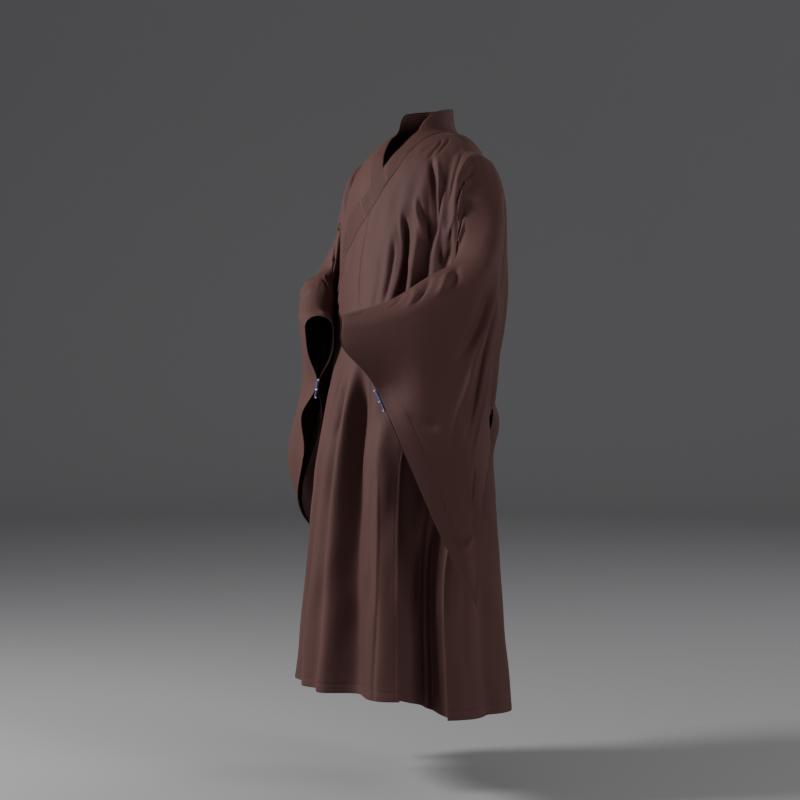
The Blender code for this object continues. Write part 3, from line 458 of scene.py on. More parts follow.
def share_at(line, angle):
    """The share along a line, which turns one way, where it passes an angle."""
    low, high = 0.0, 1.0
    falls = line(0.0)[0] > line(1.0)[0]
    for _ in range(40):
        middle = (low + high) / 2
        if (line(middle)[0] > angle) == falls:
            low = middle
        else:
            high = middle
    return (low + high) / 2


# The form of the body

def turned(angle):
    """The same angle between -180 and 180."""
    return (angle + 180.0) % 360.0 - 180.0


def fold_depth(angle, run):
    """How far the large folds move the cloth out of the plain form."""
    depth = np.zeros(np.shape(run))
    for top_run, end_run, top_angle, end_angle, size, top_half, end_half in FOLDS.values():
        share = (run - top_run) / (end_run - top_run)
        half = top_half + (end_half - top_half) * share
        away = turned(angle - (top_angle + (end_angle - top_angle) * share)) / half
        ends = smooth((run - top_run) / 0.16) * smooth((end_run - run) / 0.12)
        here = (run > top_run) & (run < end_run)
        depth += np.where(here, size * ends * np.exp(-away * away), 0.0)
    for side in (1.0, -1.0):
        along = np.clip((run - UNDERARM_CORNER_RUN) / UNDERARM_CORNER_HALF_RUN, -1.0, 1.0)
        across = turned(angle - side * UNDERARM_CORNER_ANGLE) / UNDERARM_CORNER_HALF_ANGLE
        across = np.clip(across, -1.0, 1.0)
        depth += UNDERARM_CORNER_DEPTH * (np.cos(along * math.pi / 2) * np.cos(across * math.pi / 2)) ** 2
    return depth


def covered_share(angle, run):
    """How far the right front is under the overlap, from 0 in the open to 1 well under it."""
    return smooth((run - 0.178 + 0.0027 * angle) / 0.12) * smooth((angle + 62.0) / 12.0)


def covered_depth(angle, run):
    """The right front runs flat under the overlap, further in than the folds that cover it."""
    covered = covered_share(angle, run)
    inside = 0.010 + 0.010 * smooth((angle + 46.0) / 14.0) + 0.022 * smooth((angle + 14.0) / 14.0)
    return fold_depth(angle, run) * (1 - covered) - inside * covered


def crease_depth(creases, across, down, scale):
    """How far a table of creases moves the cloth, at places given as metres across and down."""
    depth = np.zeros(across.shape)
    for *points, size, half in creases.values():
        line = curve(points)(np.linspace(0.0, 1.0, 19)) * scale
        low, high = line.min(axis=0) - 2.6 * half, line.max(axis=0) + 2.6 * half
        near = (across > low[0]) & (across < high[0]) & (down > low[1]) & (down < high[1])
        if not near.any():
            continue
        x, y = across[near], down[near]
        best, along = np.full(x.shape, 9.0), np.zeros(x.shape)
        for k, ((ax, ay), (bx, by)) in enumerate(zip(line, line[1:])):
            dx, dy = bx - ax, by - ay
            t = np.clip(((x - ax) * dx + (y - ay) * dy) / (dx * dx + dy * dy), 0.0, 1.0)
            away = np.hypot(x - ax - t * dx, y - ay - t * dy)
            closer = away < best
            best = np.where(closer, away, best)
            along = np.where(closer, (k + t) / (len(line) - 1), along)
        ends = smooth(along / 0.3) * smooth((1.0 - along) / 0.3)
        depth[near] += size * ends * np.exp(-((best / half) ** 2))
    return depth


def wave_depth(angle, run):
    depth = np.zeros(np.shape(run))
    for turns, down, phase, size in WAVES:
        depth += size * np.sin(np.radians(angle) * turns + 2 * math.pi * down * run + phase)
    return depth * smooth(run / 0.25)


def small_depth(angle, run):
    """The creases and unevenness that the solids leave out."""
    scale = (METRES_PER_DEGREE, 1.0)
    creases = crease_depth(BODY_CREASES, turned(angle) * METRES_PER_DEGREE, run, scale)
    return creases + wave_depth(angle, run)


def form(angle, run, depth_at):
    height, half_width, half_depth, centre_y = np.moveaxis(read(SECTIONS, run), -1, 0)
    a = np.radians(angle)
    out = np.stack((np.sin(a) * half_depth, -np.cos(a) * half_width, np.zeros(a.shape)), axis=-1)
    out /= np.linalg.norm(out, axis=-1, keepdims=True)
    place = np.stack((half_width * np.sin(a), centre_y - half_depth * np.cos(a), height), axis=-1)
    return place + out * depth_at(angle, run)[..., None]


def unit(vectors):
    return vectors / np.maximum(np.linalg.norm(vectors, axis=-1, keepdims=True), 1e-12)


def body_point(angle, run, lift, depth_at, small):
    place = form(angle, run, depth_at)
    across = form(angle + 0.05, run, depth_at) - form(angle - 0.05, run, depth_at)
    down = form(angle, run + 0.0005, depth_at) - form(angle, run - 0.0005, depth_at)
    return place + unit(np.cross(down, across)) * (lift + small)[..., None]


def robe_point(angle, run, lift=0.0):
    """A point on the folded body, moved out along its normal by lift."""
    return body_point(angle, run, lift, fold_depth, small_depth(angle, run))


def under_point(angle, run, lift=0.0):
    """The same on the right front, which lies under the overlap and comes up to the back at the side."""
    lift = lift - 2 * LAYER * smooth((angle + 88.0) / 24.0)
    small = small_depth(angle, run) * (1 - covered_share(angle, run))
    return body_point(angle, run, lift, covered_depth, small)


# Grids

def evened(grid, passes):
    """An (angle, run) grid with its cells evened out between its edges."""
    grid = grid * (METRES_PER_DEGREE, 1.0)
    for _ in range(passes):
        across = (grid[1:-1, 2:] - grid[1:-1, :-2]) / 2
        down = (grid[2:, 1:-1] - grid[:-2, 1:-1]) / 2
        twist = (grid[2:, 2:] - grid[2:, :-2] - grid[:-2, 2:] + grid[:-2, :-2]) / 4
        alpha = (down**2).sum(axis=2, keepdims=True)
        gamma = (across**2).sum(axis=2, keepdims=True)
        beta = (across * down).sum(axis=2, keepdims=True)
        pulled = alpha * (grid[1:-1, 2:] + grid[1:-1, :-2]) + gamma * (grid[2:, 1:-1] + grid[:-2, 1:-1])
        pulled = (pulled - 2 * beta * twist) / (2 * (alpha + gamma))
        grid[1:-1, 1:-1] += 0.8 * (pulled - grid[1:-1, 1:-1])
    return grid / (METRES_PER_DEGREE, 1.0)


def with_edges(grid, left, right, top, bottom):
    """The grid with its four edges put on the four lines."""
    rows, columns = grid.shape[0] - 1, grid.shape[1] - 1
    across, down = np.linspace(0, 1, columns + 1), np.linspace(0, 1, rows + 1)
    grid[0], grid[rows] = top(across), bottom(across)
    grid[:, 0], grid[:, columns] = left(down), right(down)
    return grid


def resampled(grid, across, down):
    """The grid read at shares across and down."""
    rows, columns = np.linspace(0, 1, grid.shape[0]), np.linspace(0, 1, grid.shape[1])
    wide = np.stack([[np.interp(across, columns, row[:, k]) for row in grid] for k in range(2)], axis=-1)
    tall = [[np.interp(down, rows, wide[:, i, k]) for i in range(wide.shape[1])] for k in range(2)]
    return np.moveaxis(np.array(tall), (0, 1, 2), (2, 1, 0))


def patch_grid(left, right, top, bottom, columns, rows, fine_across, fine_down):
    """The (angle, run) of a fine grid that fills four edge lines, and its shares across and down."""
    across, down = np.meshgrid(np.linspace(0, 1, columns + 1), np.linspace(0, 1, rows + 1))
    across, down = across[..., None], down[..., None]
    ends = left(down[..., 0]) * (1 - across) + right(down[..., 0]) * across
    shape = top(across[..., 0]) * (1 - down) + bottom(across[..., 0]) * down
    chord = top(0.0) * (1 - across) + top(1.0) * across
    low_chord = bottom(0.0) * (1 - across) + bottom(1.0) * across
    grid = with_edges(ends + shape - chord * (1 - down) - low_chord * down, left, right, top, bottom)
    grid = evened(grid, FIRST_PASSES)
    across, down = np.linspace(0, 1, columns * fine_across + 1), np.linspace(0, 1, rows * fine_down + 1)
    grid = with_edges(resampled(grid, across, down), left, right, top, bottom)
    grid = evened(grid, LAST_PASSES)
    return grid


def shell(name, places, cloth_at, finish):
    """A closed thin cloth shell over a grid of places, with its place on the cloth as its UV map."""
    rows, columns = places.shape[0] - 1, places.shape[1] - 1
    shape = bmesh.new()
    bmesh.ops.create_grid(shape, x_segments=columns, y_segments=rows, size=0.5)
    flat = (places - (0.0, 0.0, MOUNT_HEIGHT)).reshape(-1, 3).tolist()
    for point, place in zip(shape.verts, flat):
        point.co = place
    cloth = cloth_at.reshape(-1, 2).tolist()
    layer = shape.loops.layers.uv.new("cloth")
    for face in shape.faces:
        for corner in face.loops:
            corner[layer].uv = cloth[corner.vert.index]
    for edge in shape.edges:
        if edge.is_boundary:
            edge.smooth = False
    mesh = bpy.data.meshes.new(name)
    shape.to_mesh(mesh)
    shape.free()
    mesh.shade_smooth()
    mesh.materials.append(finish)
    piece = bpy.data.objects.new(name, mesh)
    bpy.context.scene.collection.objects.link(piece)
    wall = piece.modifiers.new("thickness", "SOLIDIFY")
    wall.thickness = SHELL
    wall.offset = 0.0
    wall.use_quality_normals = True
    return piece


# Seams, hems and stitches

# What the cloth does beside an edge: the distance from the edge, the depth and the half width, in metres.
# Columns: distance, depth, half width.
EDGE_FORMS = {
    "seam": ((0.0, -0.0011, 0.0022),),
    "double_seam": ((0.0, -0.0010, 0.0018), (0.0060, -0.0005, 0.0012)),
    "hem": ((0.0, -0.0005, 0.0020), (0.0200, -0.0006, 0.0013)),
    "narrow_hem": ((0.0, -0.0005, 0.0020), (0.0100, -0.0006, 0.0013)),
    "cuff": ((0.0, -0.0005, 0.0020), (0.0420, -0.0007, 0.0014)),
    "tucked_hem": ((0.0, -0.0050, 0.0200), (0.0100, -0.0006, 0.0013)),
}
EDGE_LINES = {
    "seam": (0.0012, 0.0030),
    "double_seam": (0.0012, 0.0030, 0.0050, 0.0060, 0.0072),
    "hem": (0.0012, 0.0030, 0.0187, 0.0200, 0.0213),
    "narrow_hem": (0.0012, 0.0030, 0.0088, 0.0100, 0.0112),
    "cuff": (0.0012, 0.0030, 0.0406, 0.0420, 0.0434),
    "tucked_hem": (0.0012, 0.0030, 0.0088, 0.0100, 0.0112),
}
STITCHED = {"double_seam": 0.0060, "hem": 0.0200, "narrow_hem": 0.0100, "cuff": 0.0420, "tucked_hem": 0.0100}
STITCH_PITCH = 0.0034
STITCH_LENGTH = 0.0026
STITCH_WIDTH = 0.0006
stitch_rows = {"brown_thread": []}


def grid_normals(places, outward):
    """The normals of a grid of places, on the side that the outward directions point to."""
    across = np.gradient(places, axis=1)
    down = np.gradient(places, axis=0)
    normals = unit(np.cross(down, across))
    facing = np.sign((normals * outward).sum(axis=-1, keepdims=True))
    return normals * np.where(facing == 0, 1.0, facing)


def edge_distance(places, edge):
    """How far each place is from an edge of its grid, along the grid's lines."""
    axis = 1 if edge in ("left", "right") else 0
    steps = np.linalg.norm(np.diff(places, axis=axis), axis=-1)
    zero = np.zeros_like(np.take(steps, [0], axis=axis))
    if edge in ("left", "top"):
        return np.concatenate((zero, np.cumsum(steps, axis=axis)), axis=axis)
    back = np.flip(np.cumsum(np.flip(steps, axis=axis), axis=axis), axis=axis)
    return np.concatenate((back, zero), axis=axis)


def edge_mask(shape, edge, low, high):
    rows, columns = shape
    count = rows if edge in ("left", "right") else columns
    share = np.linspace(0, 1, count)
    here = (share >= low - 1e-6) & (share <= high + 1e-6)
    return np.broadcast_to(here[:, None] if edge in ("left", "right") else here[None, :], shape)


def stitch_line(places, normals, edge, low, high, distance):
    """Keep a row of stitches at a distance from an edge, as places and normals along it."""
    away = edge_distance(places, edge)
    axis = 1 if edge in ("left", "right") else 0
    line, facing = [], []
    count = places.shape[0] if axis == 1 else places.shape[1]
    for k in range(count):
        share = k / (count - 1)
        if not low <= share <= high:
            continue
        far = away[k] if axis == 1 else away[:, k]
        at = places[k] if axis == 1 else places[:, k]
        way = normals[k] if axis == 1 else normals[:, k]
        order = np.argsort(far)
        line.append([np.interp(distance, far[order], at[order, c]) for c in range(3)])
        facing.append([np.interp(distance, far[order], way[order, c]) for c in range(3)])
    stitch_rows["brown_thread"].append((np.array(line), unit(np.array(facing))))


def finished_edges(places, outward, plan):
    """The places with their seams and hems pressed in, and the rows of stitches along the hems kept."""
    normals = grid_normals(places, outward)
    depth = np.zeros(places.shape[:2])
    for edge, low, high, kind in plan:
        away = edge_distance(places, edge)
        here = edge_mask(depth.shape, edge, low, high)
        for distance, size, half in EDGE_FORMS[kind]:
            line = size * np.exp(-(((away - distance) / half) ** 2))
            depth = np.where(here, np.minimum(depth, line), depth)
    places = places + normals * depth[..., None]
    for edge, low, high, kind in plan:
        if kind in STITCHED:
            stitch_line(places, normals, edge, low, high, STITCHED[kind])
    return places


def shares_with_lines(count, length, plan, start_edge, end_edge):
    """Shares along one way of a grid, with further ones where its seams and hems need them."""
    start = sorted({d for edge, *_, kind in plan if edge == start_edge for d in EDGE_LINES[kind]})
    end = sorted({d for edge, *_, kind in plan if edge == end_edge for d in EDGE_LINES[kind]})
    even = np.linspace(0, 1, count + 1)
    further = np.array([d / length for d in start] + [1 - d / length for d in end])
    if len(further):
        least = CLOSEST_LINES / length
        even = np.array([s for s in even if s in (0.0, 1.0) or np.abs(further - s).min() > least])
    return np.sort(np.concatenate((even, further)))


# The body panels

def body_panel(name, left, right, top, bottom, columns, rows, finish, plan, point=robe_point):
    grid = patch_grid(left, right, top, bottom, columns, rows, FINE_ACROSS, FINE_DOWN)
    places = point(grid[..., 0], grid[..., 1])
    width = np.linalg.norm(np.diff(places, axis=1), axis=-1).sum(axis=1).mean()
    length = np.linalg.norm(np.diff(places, axis=0), axis=-1).sum(axis=0).mean()
    across = shares_with_lines(grid.shape[1] - 1, width, plan, "left", "right")
    down = shares_with_lines(grid.shape[0] - 1, length, plan, "top", "bottom")
    grid = resampled(grid, across, down)
    places = point(grid[..., 0], grid[..., 1])
    outward = places - (0.0, -0.03, 0.0)
    outward[..., 2] = 0.4
    places = finished_edges(places, outward, plan)
    return shell(name, places, grid * (METRES_PER_DEGREE, 1.0), finish)


def collar_seam(share):
    return curve([row[:2] for row in COLLAR])(share)


def seam_part(high_angle, low_angle):
    """The collar seam between two angles, from the nape's side forwards."""
    return part_of(collar_seam, share_at(collar_seam, high_angle), share_at(collar_seam, low_angle))


def front_panels(finish):
    half_gap = SEAM_GAP / 2
    rows = ARMHOLE_COUNT + VENT_COUNT
    sewn = ARMHOLE_COUNT / rows
    centre = curve(CENTRE_SEAM)
    shoulder = moved(curve(SHOULDER_SEAM), angle=-half_gap / METRES_PER_DEGREE)
    armhole = beside(curve(ARMHOLE_FRONT), -CORNER_GAP)
    side = chain((armhole, ARMHOLE_COUNT), (curve(VENT_FRONT), VENT_COUNT))
    low_corner = CENTRE_SEAM[0][0]

    neck = moved(reverse(seam_part(90.0, low_corner)), run=SEAM_GAP)
    top = chain((neck, FRONT_TOP_COUNT), (shoulder, SHOULDER_COUNT))
    inner = moved(centre, angle=half_gap / METRES_PER_DEGREE)
    hem = curve((inner(1.0), side(1.0)))
    plan = (
        ("top", 0.0, 1.0, "seam"), ("left", 0.0, 1.0, "double_seam"), ("right", sewn, 1.0, "narrow_hem"),
        ("bottom", 0.0, 1.0, "hem"),
    )
    columns = FRONT_TOP_COUNT + SHOULDER_COUNT
    front_left = body_panel("front_left_cloth", inner, side, top, hem, columns, rows, finish, plan)

    top = moved(reverse(seam_part(low_corner, COLLAR[-1][0])), run=SEAM_GAP)
    outer = curve(OVERLAP_EDGE)
    inner = moved(centre, angle=-half_gap / METRES_PER_DEGREE)
    hem = curve((outer(1.0), inner(1.0)))
    plan = (
        ("top", 0.0, 1.0, "seam"), ("right", 0.0, 1.0, "double_seam"), ("left", 0.0, 1.0, "tucked_hem"),
        ("bottom", 0.0, 1.0, "hem"),
    )
    overlap = body_panel(
        "front_overlap_cloth", outer, inner, top, hem, OVERLAP_TOP_COUNT, rows, finish, plan
    )

    neck = moved(mirror(seam_part(90.0, -UNDER_EDGE[0][0])), run=SEAM_GAP)
    top = chain((reverse(mirror(shoulder)), SHOULDER_COUNT), (neck, UNDERLAP_TOP_COUNT))
    outer = mirror(chain((armhole, ARMHOLE_COUNT), (curve(VENT_FRONT_RIGHT), VENT_COUNT)))
    inner = curve((tuple(top(1.0)),) + UNDER_EDGE[1:])
    hem = curve((outer(1.0), inner(1.0)))
    plan = (
        ("top", 0.0, 1.0, "seam"), ("left", sewn, 1.0, "narrow_hem"), ("right", 0.0, 1.0, "narrow_hem"),
        ("bottom", 0.0, 1.0, "hem"),
    )
    columns = UNDERLAP_TOP_COUNT + SHOULDER_COUNT
    front_right = body_panel(
        "front_right_cloth", outer, inner, top, hem, columns, rows, finish, plan, under_point
    )
    return {"front_left": front_left, "front_overlap": overlap, "front_right": front_right}


def back_panels(finish):
    half_gap = SEAM_GAP / 2
    rows = ARMHOLE_COUNT + VENT_COUNT
    sewn = ARMHOLE_COUNT / rows
    columns = SHOULDER_COUNT + NECK_BACK_COUNT
    shoulder = moved(curve(SHOULDER_SEAM), angle=half_gap / METRES_PER_DEGREE)
    armhole = beside(curve(ARMHOLE_BACK), CORNER_GAP)
    outer = chain((armhole, ARMHOLE_COUNT), (curve(VENT_BACK), VENT_COUNT))
    spans = (curve(CENTRE_BACK[:2]), curve(CENTRE_BACK[1:]))
    middle = chain((spans[0], ARMHOLE_COUNT), (spans[1], VENT_COUNT))
    middle = moved(middle, angle=-half_gap / METRES_PER_DEGREE)
    neck = moved(reverse(seam_part(180.0, 90.0)), run=SEAM_GAP)
    top = chain((reverse(shoulder), SHOULDER_COUNT), (neck, NECK_BACK_COUNT))
    hem = curve((outer(1.0), middle(1.0)))
    plan = (
        ("top", 0.0, 1.0, "seam"), ("right", 0.0, 1.0, "seam"), ("left", sewn, 1.0, "narrow_hem"),
        ("bottom", 0.0, 1.0, "hem"),
    )
    back_left = body_panel("back_left_cloth", outer, middle, top, hem, columns, rows, finish, plan)
    outer = chain((armhole, ARMHOLE_COUNT), (curve(VENT_BACK_RIGHT), VENT_COUNT))
    hem = curve((outer(1.0), middle(1.0)))
    sides = (mirror(middle), mirror(outer), mirror(reverse(top)), mirror(reverse(hem)))
    other_side = {"left": "right", "right": "left"}
    plan = [(other_side.get(edge, edge), low, high, kind) for edge, low, high, kind in plan]
    back_right = body_panel("back_right_cloth", *sides, columns, rows, finish, plan)
    return {"back_left": back_left, "back_right": back_right}


def pleat_edge(line, way, start, clear):
    """A side edge of the pleats, sewn under a vent's edge, which starts just outside it at the underarm."""
    first = 0.03
    outside, under = beside(line, way * (CORNER_GAP + clear)), beside(line, -way * PLEAT_LAP)

    def lapped(share):
        share = np.asarray(share, float)
        away, low = outside(first + (1 - first) * share), under(first + (1 - first) * share)
        mix = smooth(share * 8.0)[..., None]
        return away + (low - away) * mix - np.stack((0.0 * share, 0.004 * share), axis=-1)

    return chain((part_of(outside, start, first), 1), (lapped, VENT_COUNT + 1))


def pleat_places(grid, sign):
    """The pleats lie inside the body's form: just under the vent's edges, and deep between them."""
    rows, columns = grid.shape[0] - 1, grid.shape[1] - 1
    across, down = np.meshgrid(np.linspace(0, 1, columns + 1), np.linspace(0, 1, rows + 1))
    inward = np.sin(math.pi * across) ** 0.8
    deep = 0.054 * smooth(down * 1.5) * (1 - 0.30 * np.sin(3 * math.pi * across) ** 2)
    lift = -PLEAT_DROP * (1 + 0.9 * across) * smooth(down * (VENT_COUNT + 2)) - deep * inward
    angle, run = grid[..., 0], grid[..., 1]
    places = robe_point(sign * angle, run, lift)
    if sign < 0:
        under = under_point(-angle, run, lift)
        mix = (1 - smooth(across * 3.0))[..., None]
        places = places * (1 - mix) + under * mix
    return places


def side_pleats(finish):
    """The cloth behind each vent, sewn under the front's and the back's edges and folded in between."""
    lines = (curve(UNDERARM_FRONT), reverse(curve(UNDERARM_BACK)))
    under = beside(chain((lines[0], UNDERARM_COUNT), (lines[1], UNDERARM_COUNT)), -CORNER_GAP)
    columns, rows = 2 * UNDERARM_COUNT, VENT_COUNT + 2
    vents = {
        "pleat_left": (1, VENT_FRONT, VENT_BACK),
        "pleat_right": (-1, VENT_FRONT_RIGHT, VENT_BACK_RIGHT),
    }
    made = {}
    plan = (("bottom", 0.0, 1.0, "hem"), ("top", 0.0, 1.0, "seam"))
    for name, (sign, front_line, back_line) in vents.items():
        front = pleat_edge(curve(front_line), 1.0, 0.006, 0.0012)
        back = pleat_edge(curve(back_line), -1.0, 0.014, 0.0035)
        hem = curve((front(1.0), back(1.0)))
        grid = patch_grid(front, back, under, hem, columns, rows, FINE_ACROSS, FINE_DOWN)
        places = pleat_places(grid, sign)
        outward = places - (0.0, -0.03, 0.0)
        places = finished_edges(places, outward, plan)
        made[name] = shell(f"{name}_cloth", places, grid * (METRES_PER_DEGREE, 1.0), finish)
    return made


# The collar band

PALE_LINES = (0.322, 0.381, 0.422)
LADDER_ROWS = tuple(0.329 + 0.0062 * k for k in range(15))
QUILTED_ROWS = 11
QUILTING_DEPTH = 0.00045
COLLAR_SHELL = 0.0020
COLLAR_LIFT = 0.0007


def collar_band(name, sign, parts, point, finish):
    """One half of the collar, in parts of the seam with their counts of columns, quilted along its length."""
    seam = collar_chain(*parts)
    rows = [(share_at(collar_seam, row[0]), *row[2:]) for row in COLLAR]
    rows[0] = (0.0, *COLLAR[0][2:])
    rows[-1] = (1.0, *COLLAR[-1][2:])
    most = 180.0 - SEAM_GAP / METRES_PER_DEGREE
    columns = sum(count for line, count in parts) * COLLAR_FINE_ACROSS
    down = np.linspace(0, 1, 2 * COLLAR_ROWS + 1)[:, None]
    share = seam(np.linspace(0, 1, columns + 1))
    at_seam, at_edge = collar_seam(share)[None], read(rows, share)[None]
    line = at_edge + (at_seam - at_edge) * down[..., None]
    angle = np.minimum(line[..., 0], most) * sign
    quilting = QUILTING_DEPTH * (np.abs(np.sin(math.pi * QUILTED_ROWS * down)) ** 0.6 - 1)
    edges = -0.0012 * (np.exp(-((down / 0.035) ** 2)) + np.exp(-(((1 - down) / 0.045) ** 2)))
    lift = COLLAR_LIFT + quilting + edges + 0.0 * angle
    places = point(angle, line[..., 1], lift)
    along = np.concatenate(([0.0], np.cumsum(np.linalg.norm(np.diff(places[-1], axis=0), axis=-1))))
    cloth_at = np.stack(np.broadcast_arrays(sign * along[None, :], 0.055 * down), axis=-1)
    band = shell(name, places, cloth_at, finish)
    band.modifiers["thickness"].thickness = COLLAR_SHELL
    return band, places, along


def span(low, high):
    return lambda share: low + (high - low) * np.asarray(share, float)


def collar_chain(*parts):
    """Shares along the collar seam end to end, each with its count of grid steps."""
    total = sum(count for line, count in parts)

    def at(share):
        step, start, place = np.clip(share, 0.0, 1.0) * total, 0, None
        for line, count in parts:
            here = line(np.clip((step - start) / count, 0.0, 1.0))
            place = here if place is None else np.where(step > start, here, place)
            start += count
        return place

    return at


def collar_bands(finish):
    """The left band crosses over to the robe's right, and the right band lies under it."""
    shoulder = share_at(collar_seam, 90.0)
    corner = share_at(collar_seam, CENTRE_SEAM[0][0])
    under_end = share_at(collar_seam, -UNDER_EDGE[0][0])
    left = (
        (span(0.0, shoulder), NECK_BACK_COUNT),
        (span(shoulder, corner), FRONT_TOP_COUNT),
        (span(corner, 1.0), OVERLAP_TOP_COUNT),
    )
    right = ((span(0.0, shoulder), NECK_BACK_COUNT), (span(shoulder, under_end), UNDERLAP_TOP_COUNT))
    left_band, places, along = collar_band("collar_left_band", 1, left, robe_point, finish)
    right_band, _, _ = collar_band("collar_right_band", -1, right, under_point, finish)
    return {"collar_left": left_band, "collar_right": right_band}, places, along


# The sleeves

def root_point(share, side, sign):
    """The armhole from the shoulder down one side to the underarm, as a point on the body."""
    if side < 0:
        lines = (curve(ARMHOLE_FRONT), curve(UNDERARM_FRONT))
    else:
        lines = (curve(ARMHOLE_BACK), curve(UNDERARM_BACK))
    line = chain((lines[0], ARMHOLE_COUNT), (lines[1], UNDERARM_COUNT))(np.minimum(share, 0.9985))
    if sign < 0 and side < 0:
        return under_point(-line[..., 0], line[..., 1])
    return robe_point(sign * line[..., 0], line[..., 1])


def past_armhole(distance, share, side, sign):
    """The body's own form, carried on past the armhole by a distance."""
    lines = (ARMHOLE_FRONT, UNDERARM_FRONT) if side < 0 else (ARMHOLE_BACK, UNDERARM_BACK)
    line = chain((curve(lines[0]), ARMHOLE_COUNT), (curve(lines[1]), UNDERARM_COUNT))
    here, away = line(share), beside(line, -side * distance)(share)
    angle = here[..., 0] + (away[..., 0] - here[..., 0]) * smooth(share / 0.12)
    if sign < 0 and side < 0:
        return under_point(-angle, away[..., 1])
    return robe_point(sign * angle, away[..., 1])


def sleeve_rows(station, sign):
    table = SLEEVE_LEFT if sign > 0 else SLEEVE_RIGHT
    return np.moveaxis(read([(i, *row) for i, row in enumerate(table.values())], station), -1, 0)


def hanging_section(station, share, side, sign):
    """A point of the teardrop section at a place along the sleeve, from the arm down to the bottom seam."""
    tx, ty, th, bx, by, bh, bow_x, bow_y, faces, radius, gape = sleeve_rows(station, sign)
    top, bottom = np.stack((tx, ty, th), axis=-1), np.stack((bx, by, bh), axis=-1)
    length = np.linalg.norm(bottom - top, axis=-1)
    turn = math.pi / 2 * np.clip(share / ARM_SHARE, 0.0, 1.0)
    low = np.clip((share - ARM_SHARE) / (1 - ARM_SHARE), 0.0, 1.0)
    hanging = share >= ARM_SHARE
    drop = np.where(hanging, radius + (length - radius) * low, radius * (1 - np.cos(turn)))
    half = gape + (radius - gape) * (1 - smooth(low / 0.42))
    open_until, closing = CLOSING_LEFT if sign > 0 else CLOSING_RIGHT
    half = np.where(hanging, half * (1 - smooth((low - open_until) / closing)), radius * np.sin(turn))
    near_cuff = smooth((station - SLEEVE_STATIONS + 1.2) / 1.2)
    pinch = near_cuff * np.exp(-(((share - TIE_SHARE) / PINCH_HALF_SHARE) ** 2))
    half = half * (1 - 0.94 * pinch)
    faces = np.radians(faces)
    out = np.stack((np.cos(faces), np.sin(faces), np.zeros(faces.shape)), axis=-1)
    fallen = (drop / length)[..., None]
    bow = np.stack((bow_x, bow_y, np.zeros(bow_x.shape)), axis=-1) * np.sin(math.pi * fallen**2.2)
    place = top + (bottom - top) * fallen + out * (half * side)[..., None] + bow
    if sign > 0:
        nose = near_cuff[..., None] * np.exp(-(((fallen - CUFF_NOSE_DROP) / CUFF_NOSE_HALF) ** 2))
        place = place + np.array((*CUFF_NOSE, 0.0)) * nose
    elif side > 0:
        curl = smooth((station - SLEEVE_STATIONS + 0.85) / 0.85) ** 1.5
        curl = CUFF_CURL * curl * smooth((share - 0.50) / 0.16) * smooth((0.92 - share) / 0.24)
        place = place - np.stack((curl, np.zeros(curl.shape), np.zeros(curl.shape)), axis=-1)
    else:
        back = smooth((station - SLEEVE_STATIONS + 1.6) / 1.6)
        back = back * smooth((share - 0.47) / 0.16) * smooth((0.88 - share) / 0.26)
        place = place + np.array((*CUFF_BACK, 0.0)) * back[..., None]
    return place * (sign, 1.0, 1.0)


def joined_section(station, share, side, sign):
    """The same, drawn to the armhole near the body."""
    place = hanging_section(station, share, side, sign)
    start = hanging_section(np.zeros(np.shape(station)), share, side, sign)
    drawn = ((1 - smooth(station / 2.0)) ** 1.5)[..., None]
    root = root_point(share, side, sign)
    place = place + (root - start) * drawn
    distance = np.linalg.norm(place - root, axis=-1)
    along_body = (1 - smooth(station / LEAVING_STATIONS)) * (1 - smooth((share - 0.34) / 0.16))
    return place + (past_armhole(distance, share, side, sign) - place) * along_body[..., None]


def sleeve_middle(station, share, sign):
    return (joined_section(station, share, 1, sign) + joined_section(station, share, -1, sign)) / 2


def sleeve_places(station, share, side, sign):
    """A layer of the sleeve: side is 1 for the back and outer layer, -1 for the front and inner one."""
    place = joined_section(station, share, side, sign)
    along = sleeve_middle(np.minimum(station + 0.05, SLEEVE_STATIONS), share, sign)
    along = along - sleeve_middle(np.maximum(station - 0.05, 0.0), share, sign)
    down = sleeve_middle(station, np.minimum(share + 0.02, 1.0), sign)
    down = down - sleeve_middle(station, np.maximum(share - 0.02, 0.0), sign)
    faces = np.radians(sleeve_rows(station, sign)[8])
    normal = unit(np.cross(along, down))
    out = np.stack((sign * np.cos(faces), np.sin(faces), np.zeros(faces.shape)), axis=-1)
    normal = np.where(((normal * out).sum(axis=-1) > 0)[..., None], normal, -normal)
    least = BOTTOM_GAPE * smooth(station / 0.3) * smooth((share - 0.5) / 0.3)
    return place + normal * (least * side)[..., None], normal * side


